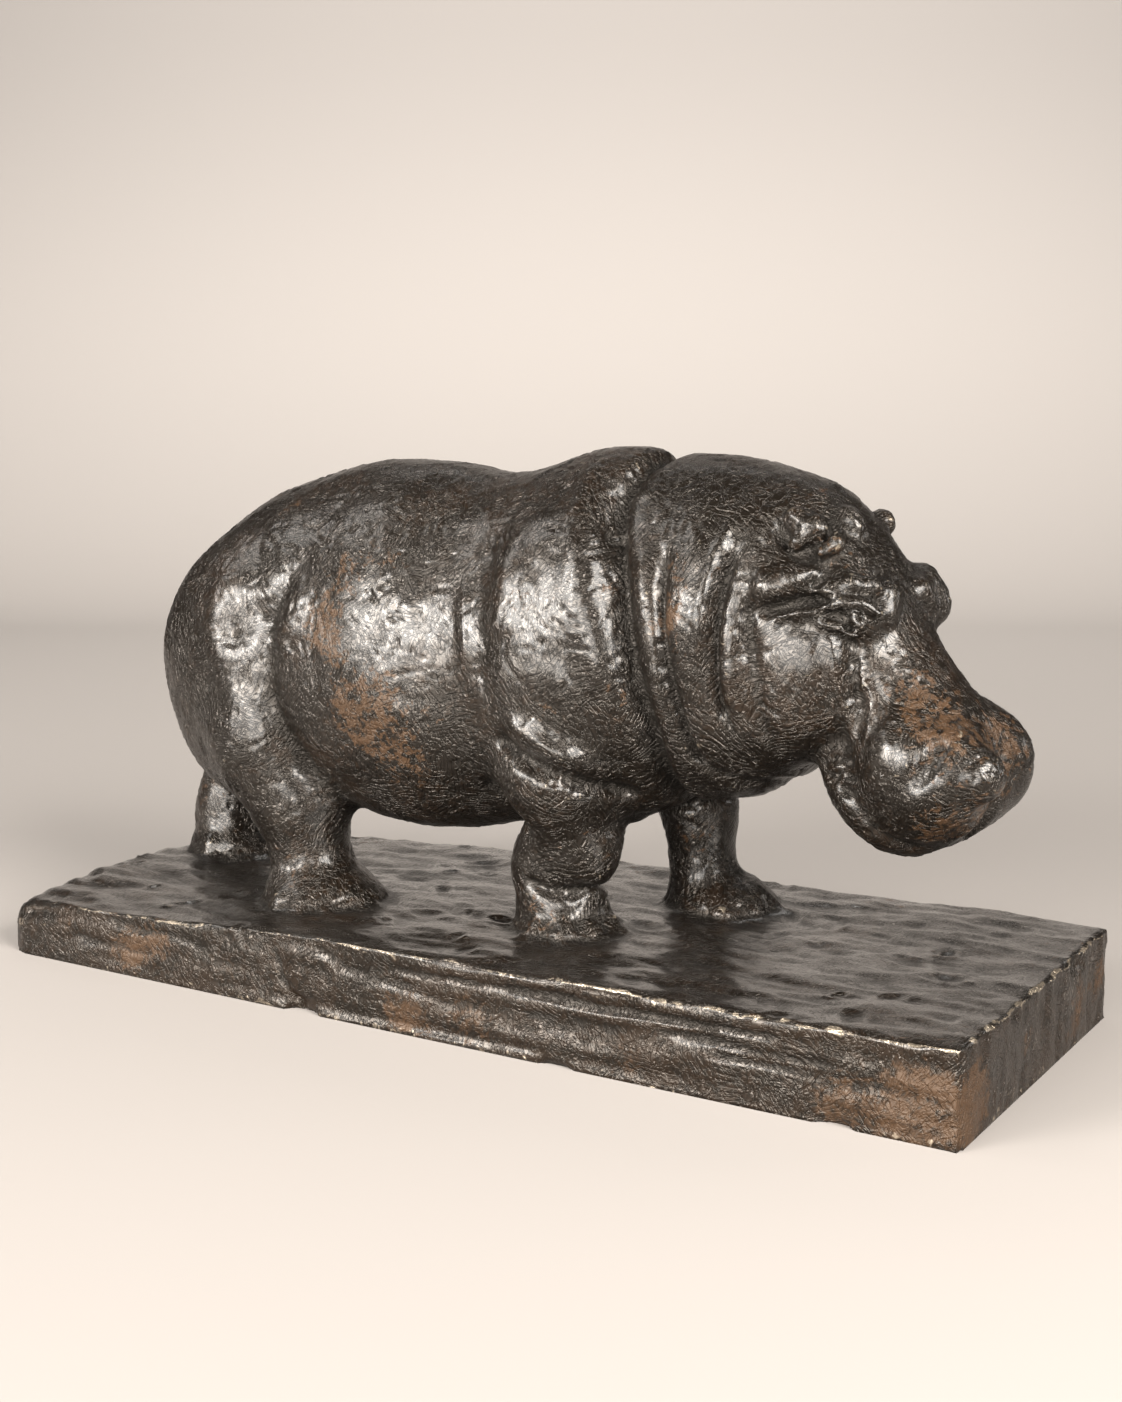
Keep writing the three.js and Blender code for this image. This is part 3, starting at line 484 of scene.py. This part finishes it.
# one point in every grid cell that the surface crosses, joined into four-sided faces
def skin():
    inside = clay < 0
    hits = np.zeros(count - 1, np.uint8)
    corners = [(a, b, c) for a in (0, 1) for b in (0, 1) for c in (0, 1)]
    for a, b, c in corners:
        hits += inside[a:count[0] - 1 + a, b:count[1] - 1 + b, c:count[2] - 1 + c]
    cells = np.flatnonzero((hits > 0) & (hits < 8))
    ijk = np.stack(np.unravel_index(cells, count - 1), 1)
    depth = {c: clay[tuple((ijk + c).T)] for c in corners}
    total, crossings = np.zeros((len(cells), 3), np.float32), np.zeros(len(cells), np.float32)
    for c in corners:
        for axis in range(3):
            if c[axis]:
                continue
            other = tuple(v + (n == axis) for n, v in enumerate(c))
            crosses = (depth[c] < 0) != (depth[other] < 0)
            t = depth[c] / np.where(crosses, depth[c] - depth[other], 1)
            place = np.tile(np.array(c, np.float32), (len(cells), 1))
            place[:, axis] += t
            total += place * crosses[:, None]
            crossings += crosses
    points = low + (ijk + total / crossings[:, None]) * step
    faces = []
    for axis in range(3):
        near = [slice(1, -1)] * 3
        far = list(near)
        far[axis] = slice(2, None)
        changes = np.argwhere(inside[tuple(near)] != inside[tuple(far)]) + 1
        p, q = np.eye(3, dtype=int)[(axis + 1) % 3], np.eye(3, dtype=int)[(axis + 2) % 3]
        ring = [changes, changes - p, changes - p - q, changes - q]
        places = [np.ravel_multi_index(tuple(r.T), count - 1) for r in ring]
        quad = np.stack([np.searchsorted(cells, place) for place in places], 1)
        outward = inside[tuple(changes.T)]
        faces.append(np.where(outward[:, None], quad, quad[:, ::-1]))
    return points.astype(np.float32), np.concatenate(faces)


def normalsOf(points, quads):
    a, b, c, d = (points[quads[:, n]] for n in range(4))
    across = np.cross(c - a, d - b)
    normals = np.stack([sum(np.bincount(quads[:, corner], across[:, n], len(points)) for corner in range(4))
                        for n in range(3)], 1)
    return (normals / np.maximum(np.linalg.norm(normals, axis=1), 1e-9)[:, None]).astype(np.float32)


shapeTrunk()
for leg in legs.values():
    shapeLeg(leg)
shapeHead()
for a, b, startRadius, endRadius, soft in tail:
    limb(a, b, startRadius, endRadius, soft)
report("masses joined")
for crease in bodyCreases.values():
    creaseBody(crease)
creaseBody(kneeCrease, (-120, 0))
creaseHead(headCreases, noseGroove)
shapePlinth()
for at, size in chips:
    lump(at, size, turned(0, 0), 3, cut=True)
for crease in frontCreases.values():
    creaseBody(crease, (-120, -92))
report("creases cut")
points, quads = skin()
report(f"skinned with {len(points)} points")

# Relief: how the clay was worked.

relief = {
    "seed": 7,
    # size of the lumps in mm, and how far they rise and sink
    "swells": [(40, 0.8), (16, 0.3), (7, 0.12)],
    "strokes": {"count": 4800, "length": (6, 20), "width": (0.9, 1.5), "depth": (0.15, 0.45)},
    "pellets": {"count": 1300, "radius": (2.5, 8), "height": (0.1, 0.3)},
    "ground": {"count": 60, "radius": (4, 12), "depth": (0.5, 1.4)},
    "ripples": [((34, 13, 20), 1.1), ((13, 6, 8), 0.45)],  # size along, across and up, and rise
    "drags": [((60, 30, 9), 0.9), ((15, 10, 5), 0.45)],
    "ends": [((30, 14, 45), 1.1), ((12, 6, 14), 0.5)],
}


def swell(points, size, seed):
    shift = Vector((seed * 3.1, seed * 7.7, seed * 1.3))
    return np.array([noise.noise(Vector(p) + shift) for p in (points / size).tolist()], np.float32)


def workedSurface(points, normals):
    rng = random.Random(relief["seed"])
    height = np.zeros(len(points), np.float32)
    ground = (points[:, 2] < groundAt(points[:, 0], points[:, 1]) + 2.5)
    flat = ground & (normals[:, 2] > 0.6)
    end = ground & ~flat & (np.abs(normals[:, 0]) > 0.7)
    for chosen, layers in ((~ground, relief["swells"]), (flat, relief["ripples"]), (end, relief["ends"]),
                           (ground & ~flat & ~end, relief["drags"])):
        for n, (size, rise) in enumerate(layers):
            height[chosen] += swell(points[chosen], np.array(size), n + 1) * rise * 1.6

    tree = kdtree.KDTree(len(points))
    for n, p in enumerate(points.tolist()):
        tree.insert(p, n)
    tree.balance()
    animal = np.flatnonzero(~ground)
    top = np.flatnonzero(ground & (normals[:, 2] > 0.7))
    report("points sorted")

    def around(centre, radius):
        found = [n for _, n, _ in tree.find_range(centre.tolist(), radius)]
        return np.array(found)

    def frameAt(n):
        normal = normals[n]
        loose = np.array([rng.gauss(0, 1) for _ in range(3)], np.float32)
        along = loose - normal * (loose @ normal)
        along /= np.linalg.norm(along) + 1e-9
        return along, np.cross(normal, along)

    strokes = relief["strokes"]
    for _ in range(strokes["count"]):
        n = animal[rng.randrange(len(animal))]
        length, width, depth = (rng.uniform(*strokes[key]) for key in ("length", "width", "depth"))
        along, across = frameAt(n)
        near = around(points[n], length * 0.5 + width)
        offset = points[near] - points[n]
        s, q = offset @ along, offset @ across
        q = q + rng.uniform(-0.02, 0.02) * s * s
        ends = np.clip((length * 0.5 - np.abs(s)) / (length * 0.2), 0, 1)
        lips = np.exp(-(((np.abs(q) - 1.7 * width) / (0.7 * width)) ** 2))
        groove = -np.exp(-((q / width) ** 2)) + 0.45 * lips
        height[near] += depth * ends * groove
    pellets = relief["pellets"]
    for _ in range(pellets["count"]):
        n = animal[rng.randrange(len(animal))]
        radius, rise = rng.uniform(*pellets["radius"]), rng.uniform(*pellets["height"])
        along, across = frameAt(n)
        near = around(points[n], radius * 1.7)
        offset = points[near] - points[n]
        d = np.hypot(offset @ along, 1.6 * (offset @ across)) / radius
        height[near] += rise * np.clip((1.15 - d) / 0.35, 0, 1)
    dents = relief["ground"]
    for _ in range(dents["count"]):
        n = top[rng.randrange(len(top))]
        radius, depth = rng.uniform(*dents["radius"]), rng.uniform(*dents["depth"])
        along, across = frameAt(n)
        near = around(points[n], radius * 1.6)
        offset = points[near] - points[n]
        d = np.hypot(offset @ along, 1.9 * (offset @ across)) / radius
        height[near] += depth * (0.5 * np.exp(-(((d - 1.25) / 0.3) ** 2)) - np.exp(-((d / 0.8) ** 2)))
    under = points[:, 2] < 0.5
    height[under] = 0
    return height, ground


normals = normalsOf(points, quads)
height, ground = workedSurface(points, normals)
points = points + normals * (height - 0.3)[:, None] * (points[:, 2] > 0.5)[:, None]
points[points[:, 2] < 0.8, 2] = 0
report("surface worked")


def meshOf(name, points, faces):
    mesh = bpy.data.meshes.new(name)
    mesh.vertices.add(len(points))
    mesh.vertices.foreach_set("co", (points * mm).astype(np.float32).ravel())
    mesh.loops.add(faces.size)
    mesh.loops.foreach_set("vertex_index", faces.astype(np.int32).ravel())
    mesh.polygons.add(len(faces))
    mesh.polygons.foreach_set("loop_start", np.arange(0, faces.size, faces.shape[1], dtype=np.int32))
    mesh.update(calc_edges=True)
    return mesh


def thinned(obj, triangles):
    obj.data.calc_loop_triangles()
    thin = obj.modifiers.new("thin", "DECIMATE")
    thin.ratio = triangles / len(obj.data.loop_triangles)
    made = bpy.data.meshes.new_from_object(obj.evaluated_get(bpy.context.evaluated_depsgraph_get()))
    obj.modifiers.clear()
    obj.data = made


hippo = bpy.data.objects.new("hippopotamusBronze", meshOf("hippopotamusBronze", points, quads))
bpy.context.scene.collection.objects.link(hippo)
thinned(hippo, 190000)
report(f"thinned to {len(hippo.data.polygons)} faces")

# How deep or proud each point lies, and where the patina is worn, kept on the mesh for the finish.


wornPatches = [
    # centre, radius and strength of each place where the patina is rubbed to ochre
    ((-46, -72, 143), 20, 1.3), ((-30, -68, 130), 18, 1.2), ((-38, -72, 168), 14, 1.0),
    ((-70, -70, 184), 14, 1.1), ((-80, -68, 200), 13, 0.9), ((-64, -62, 221), 16, 1.1),
    ((-38, -62, 230), 13, 0.8), ((-60, -70, 158), 16, 0.8), ((-9, -70, 156), 12, 0.7),
    ((45, -70, 210), 9, 0.9), ((60, -66, 160), 12, 0.8), ((84, -58, 218), 8, 0.9),
    ((96, -60, 168), 8, 0.9), ((-151, -21, 252), 16, 0.8), ((-120, -40, 250), 12, 0.7),
    ((-205, -20, 150), 22, 0.5), ((125, -60, 215), 10, 0.9), ((140, -56, 228), 10, 0.8),
    ((126, -62, 190), 8, 0.8), ((240, -40, 160), 18, 1.4), ((256, -30, 134), 24, 1.3),
    ((266, -10, 158), 20, 1.1), ((230, -36, 184), 14, 1.0), ((246, -40, 118), 16, 1.0),
    ((118, -60, 232), 9, 1.1), ((118, -62, 205), 8, 1.1), ((134, -56, 205), 6, 0.9),
    ((205, -30, 222), 12, 0.8), ((190, -38, 240), 12, 1.0), ((172, -12, 266), 14, 0.7),
    ((180, -30, 200), 10, 0.8), ((60, -48, 92), 12, 0.9), ((40, -52, 60), 12, 0.9),
    ((50, -50, 44), 10, 0.7), ((85, 30, 80), 16, 0.8), ((-110, -60, 60), 12, 0.7),
    ((-225, 20, 80), 20, 0.7), ((-226, -2, 170), 14, 0.9), ((262, -105, 16), 24, 1.5),
    ((225, -105, 12), 22, 1.1), ((281, -84, 18), 20, 1.4), ((281, -20, 24), 26, 1.0),
    ((281, 50, 20), 30, 1.1), ((281, 92, 24), 16, 1.2), ((170, -105, 20), 26, 0.7),
    ((120, -105, 8), 22, 0.9), ((40, -105, 12), 24, 1.1), ((-6, -105, 10), 20, 1.2),
    ((-60, -105, 22), 16, 0.7), ((-110, -105, 16), 16, 0.9), ((-165, -105, 22), 24, 1.2),
    ((-190, -105, 12), 16, 0.9), ((-230, -105, 20), 16, 0.8), ((-281, 0, 20), 40, 0.9),
    ((-60, 72, 130), 34, 1.0), ((60, 66, 190), 26, 0.8), ((0, 105, 18), 50, 0.9),
    ((-180, 105, 18), 40, 0.9), ((150, 105, 14), 40, 0.9), ((-120, 60, 200), 24, 0.7),
]


def markWear(mesh):
    size = len(mesh.vertices)
    co = np.zeros(size * 3, np.float32)
    mesh.vertices.foreach_get("co", co)
    co = co.reshape(-1, 3) / mm
    inside = np.clip(co, np.array(cadBox[0]) / mm, np.array(cadBox[1]) / mm)
    mesh.vertices.foreach_set("co", (inside * mm).astype(np.float32).ravel())
    edges = np.zeros(len(mesh.edges) * 2, np.int32)
    mesh.edges.foreach_get("vertices", edges)
    a, b = edges.reshape(-1, 2).T
    degree = np.bincount(np.concatenate((a, b)), minlength=size)[:, None]
    normal = np.zeros(size * 3, np.float32)
    mesh.vertices.foreach_get("normal", normal)
    normal = normal.reshape(-1, 3)

    def averaged(values, times):
        for _ in range(times):
            total = np.stack([np.bincount(a, values[b, n], size) + np.bincount(b, values[a, n], size)
                              for n in range(values.shape[1])], 1)
            values = 0.5 * values + 0.5 * total / degree
        return values

    def keep(name, values):
        layer = mesh.attributes.new(name, "FLOAT", "POINT")
        layer.data.foreach_set("value", values.astype(np.float32))

    worn = np.zeros(size)
    for at, radius, strength in wornPatches:
        worn += strength * np.exp(-(((co - np.array(at)) ** 2).sum(1) / radius**2))
    keep("worn", np.clip(worn, 0, 1.2))
    block = np.clip((groundAt(co[:, 0], co[:, 1]) + 4 - co[:, 2]) / 3, 0, 1)  # 1 on the plinth
    keep("top", block * np.clip((normal[:, 2] - 0.55) / 0.3, 0, 1))
    keep("side", block * np.clip((0.6 - normal[:, 2]) / 0.3, 0, 1))
    inward = np.minimum(plinth["halfLength"] - np.abs(co[:, 0]), plinth["halfWidth"] - np.abs(co[:, 1]))
    below = groundAt(co[:, 0], co[:, 1]) - co[:, 2]
    keep("rim", np.clip(1.2 - (np.abs(inward) + np.abs(below)) / 2.6, 0, 1))
    layer = mesh.attributes.new("facing", "FLOAT_VECTOR", "POINT")
    layer.data.foreach_set("vector", averaged(normal, 40).astype(np.float32).ravel())
    for name, times, reach in (("fineHollow", 4, 0.5), ("broadHollow", 60, 3.5)):
        smooth = averaged(co, times)
        hollow = ((smooth - co) * normal).sum(1)
        if times > 10:
            hollow = averaged(hollow[:, None], 6)[:, 0]
        keep(name, np.clip(hollow / reach, -1, 1))


markWear(hippo.data)
hippo.data.shade_smooth()
report("wear marked")

# Shader maths: a wire is the end of a node, and sums on wires add nodes.


class Wire:
    def __init__(self, finish, socket, kind):
        self.finish, self.socket, self.kind = finish, socket, kind

    def join(self, operation, first, second):
        sort = "ShaderNodeVectorMath" if self.kind == "vector" else "ShaderNodeMath"
        return self.finish.node(sort, {"operation": operation}, (first, second), kind=self.kind)

    def __add__(self, other):
        return self.join("ADD", self, other)

    def __radd__(self, other):
        return self.join("ADD", other, self)

    def __sub__(self, other):
        return self.join("SUBTRACT", self, other)

    def __rsub__(self, other):
        return self.join("SUBTRACT", other, self)

    def __mul__(self, other):
        if self.kind == "vector":  # a vector times a value keeps its direction
            settings, sockets = {"operation": "SCALE"}, {0: self, "Scale": other}
            return self.finish.node("ShaderNodeVectorMath", settings, sockets, kind="vector")
        return self.join("MULTIPLY", self, other)

    def __rmul__(self, other):
        return self * other


class Finish:
    def __init__(self, name):
        self.material = bpy.data.materials.new(name)
        self.material.use_nodes = True
        self.tree = self.material.node_tree
        self.tree.nodes.clear()
        self.out = self.tree.nodes.new("ShaderNodeOutputMaterial")

    def node(self, nodeType, settings=None, sockets=(), out=0, kind="value"):
        made = self.tree.nodes.new(nodeType)
        for key, value in (settings or {}).items():
            setattr(made, key, value)
        for key, value in sockets.items() if isinstance(sockets, dict) else enumerate(sockets):
            if isinstance(value, Wire):
                self.tree.links.new(value.socket, made.inputs[key])
            else:
                made.inputs[key].default_value = value
        return Wire(self, made.outputs[out], kind)

    def step(self, value, low, high):
        settings = {"interpolation_type": "SMOOTHSTEP"}
        return self.node("ShaderNodeMapRange", settings, {0: value, 1: low, 2: high})

    def mix(self, mask, a, b):
        sockets = {"Factor": mask, 6: a, 7: b}
        return self.node("ShaderNodeMix", {"data_type": "RGBA"}, sockets, out=2, kind="vector")

    def noise(self, place, size, detail=2, rough=0.5, distort=0):
        return self.node("ShaderNodeTexNoise", {}, {"Vector": place, "Scale": 1 / size, "Detail": detail,
                                                    "Roughness": rough, "Distortion": distort})

    def measure(self, name):
        return self.node("ShaderNodeAttribute", {"attribute_name": name}, out=2)

    def vector(self, operation, a, b=(0, 0, 0)):
        return self.node("ShaderNodeVectorMath", {"operation": operation}, (a, b), kind="vector")

    def dot(self, a, b):
        return self.node("ShaderNodeVectorMath", {"operation": "DOT_PRODUCT"}, (a, b), out=1)

    def surface(self, **sockets):
        named = {key.replace("_", " "): value for key, value in sockets.items()}
        shader = self.node("ShaderNodeBsdfPrincipled", {}, named)
        self.tree.links.new(shader.socket, self.out.inputs["Surface"])
        return self.material


bronze = {
    "dark": (0.0031, 0.0022, 0.0015, 1),
    "patinaAndShadeBlack": (0.0009, 0.0007, 0.0005, 1),
    "ochre": (0.031, 0.0155, 0.0068, 1),
    "rust": (0.0098, 0.0052, 0.0026, 1),
    "glint": (1.0, 0.90, 0.80, 1),
    "rubbedAndHighlight": (0.30, 0.25, 0.19, 1),
    "roughness": 0.27,
    "combPitch": 0.0024,  # metres from one tooth mark to the next
    "rakePitch": 0.0033,
}


def makeBronze():
    f = Finish("agedBronze")
    place = f.node("ShaderNodeTexCoord", out="Object", kind="vector")
    facing = f.node("ShaderNodeAttribute", {"attribute_name": "facing"}, out="Vector", kind="vector")
    fine, broad, wear = f.measure("fineHollow"), f.measure("broadHollow"), f.measure("worn")
    top, side, rim = f.measure("top"), f.measure("side"), f.measure("rim")

    # rows of tool marks whose direction changes from one patch to the next
    def hatching(cell, shift, pitch, share):
        slow = {"Vector": place, "Scale": 0.7 / cell, "Detail": 1}
        sway = f.node("ShaderNodeTexNoise", {}, slow, out="Color", kind="vector")
        bent = place + (shift, shift * 1.7, shift * 0.6) + sway * (cell * 0.9)
        cells = {"Vector": bent, "Scale": 1 / cell}
        loose = f.node("ShaderNodeTexVoronoi", {}, cells, out="Color", kind="vector")
        middle = f.node("ShaderNodeTexVoronoi", {}, cells, out="Position", kind="vector")
        line = f.vector("NORMALIZE", f.vector("CROSS_PRODUCT", facing, loose - (0.5, 0.5, 0.5)))
        across = f.dot(bent - middle, line)
        waves = f.node("ShaderNodeMath", {"operation": "SINE"},
                       (across * (math.tau / pitch) + f.noise(place, pitch * 4, 1) * 7,))
        gaps = f.noise(place + line * (across * 1.6), 0.0055, 1)
        broken = f.step(gaps, 0.62 - share * 0.3, 0.7 - share * 0.3)
        patchy = f.step(f.dot(loose, (1, 0, 0)), 0.2, 0.35)
        return f.step(waves, 0.0, 0.95) * broken * patchy

    comb = hatching(0.024, 0.31, bronze["combPitch"], 0.75)
    rake = hatching(0.013, 0.77, bronze["rakePitch"], 0.55)
    marks = f.node("ShaderNodeMath", {"operation": "MAXIMUM"}, (comb, rake))
    # curled edges where a noise passes through one value
    curlNoise = f.noise(place, 0.0052, 2, 0.5, 1.2)
    apart = f.node("ShaderNodeMath", {"operation": "ABSOLUTE"}, (curlNoise - 0.5,))
    curls = f.step(apart, 0.07, 0.0)
    clods = f.noise(place, 0.011, 3, 0.5, 0.8)
    pellets = f.step(clods, 0.5, 0.56) + f.step(clods, 0.62, 0.66) * 0.8
    grain = f.noise(place, 0.0009, 2, 0.6)
    pits = f.step(f.node("ShaderNodeTexVoronoi", {}, {"Vector": place, "Scale": 240}), 0.3, 0.0)
    pitted = f.step(f.noise(place, 0.022, 1), 0.45, 0.55)
    upward = f.step(f.dot(facing, (0, 0, 1)), 0.35, 0.8)
    animal = 1 - top * 0.75 - side * 0.5
    tooled = animal * (1 - upward * (1 - top) * 0.7)
    # height in millimetres
    height = marks * tooled * -0.52 - curls * (0.25 + upward * 0.1)
    height = height + pellets * 0.2 + clods * 0.25 + grain * 0.08 - pits * pitted * 0.3
    bump = f.node("ShaderNodeBump", {}, {"Strength": 1.0, "Distance": mm, "Height": height}, kind="vector")

    # patina: black in the hollows, partly dark patina and partly painted shade of the hollows, creases and
    # tool-mark grooves; brown between; ochre where it is worn through; pale on the edges, partly rubbed
    # bronze and partly a painted highlight
    cloud = f.noise(place, 0.05, 4, 0.6, 0.3)
    specks = f.noise(place, 0.0042, 3, 0.65, 0.8)
    # painted shade together with dark patina: hollows, broad recesses, tool-mark grooves and the low parts
    # of the clods are mixed toward black
    hollow = f.step(fine * 0.7 + broad * 0.5 + marks * 0.2 + curls * 0.25 + (0.5 - clods) * 0.8, 0.1, 0.7)
    # painted highlight together with rubbed wear: convex edges and the plinth rim are mixed toward a pale
    # colour
    edge = f.step(rim * 0.8 + fine * -0.5 + (curlNoise - 0.5) * 1.6, 0.6, 0.9)
    speckle = (specks - 0.5) * (1.5 - side)
    ochre = f.step(wear * 0.4 + cloud * 0.6 + speckle, 0.64, 0.82)
    rust = f.step(cloud * 0.6 + specks * 0.6 + side * 0.08, 0.58, 0.75)
    colour = f.mix(rust * 0.6, bronze["dark"], bronze["rust"])
    colour = f.mix(ochre * 0.85, colour, bronze["ochre"])
    # the hollows' black: dark patina and painted shade
    colour = f.mix(hollow * 0.85, colour, bronze["patinaAndShadeBlack"])
    # the edges' pale colour: rubbed bronze and a painted highlight
    colour = f.mix(edge * 0.6, colour, bronze["rubbedAndHighlight"])
    rough = bronze["roughness"] + (cloud - 0.5) * 0.16 + ochre * 0.2 + hollow * 0.22
    rough = rough + grain * 0.06 + side * 0.03
    metal = 0.1 + edge * 0.7
    coat = 0.24 - ochre * 0.14 - hollow * 0.24 + top * 0.5 - side * 0.2 - upward * (1 - top) * 0.1
    return f.surface(Base_Color=colour, Metallic=metal, Roughness=rough, Normal=bump,
                     Specular_IOR_Level=0.3, Specular_Tint=bronze["glint"],
                     Coat_Weight=coat, Coat_Roughness=0.22)


hippo.data.materials.append(makeBronze())
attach(hippo, "root")
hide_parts("hippopotamus_on_plinth")
report("bronze painted")

# Floor and light.

studio = {
    "front": 0.62,  # metres of paper from the object towards the camera
    "flat": 1.7,  # and away from it, before the paper curves up
    "curve": 1.1,
    "tall": 2.2,
    "halfWide": 1.4,
    "colour": (0.228, 0.209, 0.194, 1),
    "paintedShadeUpperColour": (0.172, 0.158, 0.147, 1),  # painted shade: the paper's colour darkens towards its top
    "world": (1.0, 0.965, 0.925),
    "worldStrength": 0.035,
    # place and aim in metres, width, height, watts, colour
    "lights": {
        "key": ((-0.87, -2.36, 0.73), (0, 0, 0.15), 2.3, 1.4, 190, (1.0, 0.965, 0.92)),
        "keyCore": ((-1.05, -2.2, 0.84), (0, 0, 0.15), 0.9, 0.7, 100, (1.0, 0.965, 0.92)),
        "front": ((0.5, -2.4, 0.36), (0.1, 0, 0.18), 1.5, 1.1, 118, (1.0, 0.965, 0.92)),
        "high": ((-1.48, -0.69, 1.62), (0.1, 0, 0.15), 0.8, 0.6, 15, (1.0, 0.965, 0.92)),
        "side": ((1.78, -0.7, 0.95), (0.1, 0, 0.15), 1.0, 1.1, 180, (1.0, 0.965, 0.92)),
        "far": ((1.72, 1.29, 0.65), (0.1, 0, 0.15), 0.4, 0.5, 8, (1.0, 0.965, 0.92)),
        "backdrop": ((-0.45, 1.4, 2.1), (-1.15, 2.8, 0.6), 2.6, 0.6, 92, (1.0, 0.98, 0.95)),
    },
}


# a sheet of paper that lies under the object and curves up behind it
def makeFloor():
    profile = [(-studio["front"], 0), (0, 0), (studio["flat"], 0)]
    for n in range(1, 25):
        a = math.radians(90) * n / 24
        away, height = studio["flat"] + studio["curve"] * math.sin(a), studio["curve"] * (1 - math.cos(a))
        profile.append((away, height))
    profile.append((profile[-1][0], studio["tall"]))
    a = math.radians(camera["azimuth"])
    points = [(away * -math.sin(a) + side * math.cos(a), away * math.cos(a) + side * math.sin(a), z)
              for away, z in profile for side in (-studio["halfWide"], studio["halfWide"])]
    faces = [(2 * n, 2 * n + 1, 2 * n + 3, 2 * n + 2) for n in range(len(profile) - 1)]
    mesh = bpy.data.meshes.new("floor")
    mesh.from_pydata(points, [], faces)
    mesh.shade_smooth()
    floor = bpy.data.objects.new("floor", mesh)
    bpy.context.scene.collection.objects.link(floor)
    f = Finish("palePaper")
    height = f.dot(f.node("ShaderNodeTexCoord", out="Object", kind="vector"), (0, 0, 1))
    # painted shade: the paper's colour darkens between 0.35 and 1.2 m up
    paper = f.mix(f.step(height, 0.35, 1.2), studio["colour"], studio["paintedShadeUpperColour"])
    mesh.materials.append(f.surface(Base_Color=paper, Roughness=0.85, Specular_IOR_Level=0.2))


def makeLights():
    for name, (place, aim, width, tall, watts, colour) in studio["lights"].items():
        data = bpy.data.lights.new(name, "AREA")
        data.shape, data.size, data.size_y = "RECTANGLE", width, tall
        data.energy, data.color = watts, colour
        lamp = bpy.data.objects.new(name, data)
        lamp.location = place
        lamp.rotation_mode = "QUATERNION"
        lamp.rotation_quaternion = (Vector(aim) - Vector(place)).to_track_quat("-Z", "Y")
        lamp.visible_camera = False
        bpy.context.scene.collection.objects.link(lamp)
    world = bpy.data.worlds.new("studio")
    world.use_nodes = True
    sky = world.node_tree.nodes["Background"]
    sky.inputs["Color"].default_value = (*studio["world"], 1)
    sky.inputs["Strength"].default_value = studio["worldStrength"]
    bpy.context.scene.world = world


makeFloor()
makeLights()
bpy.context.scene.view_settings.view_transform = "Standard"
report("studio lit")
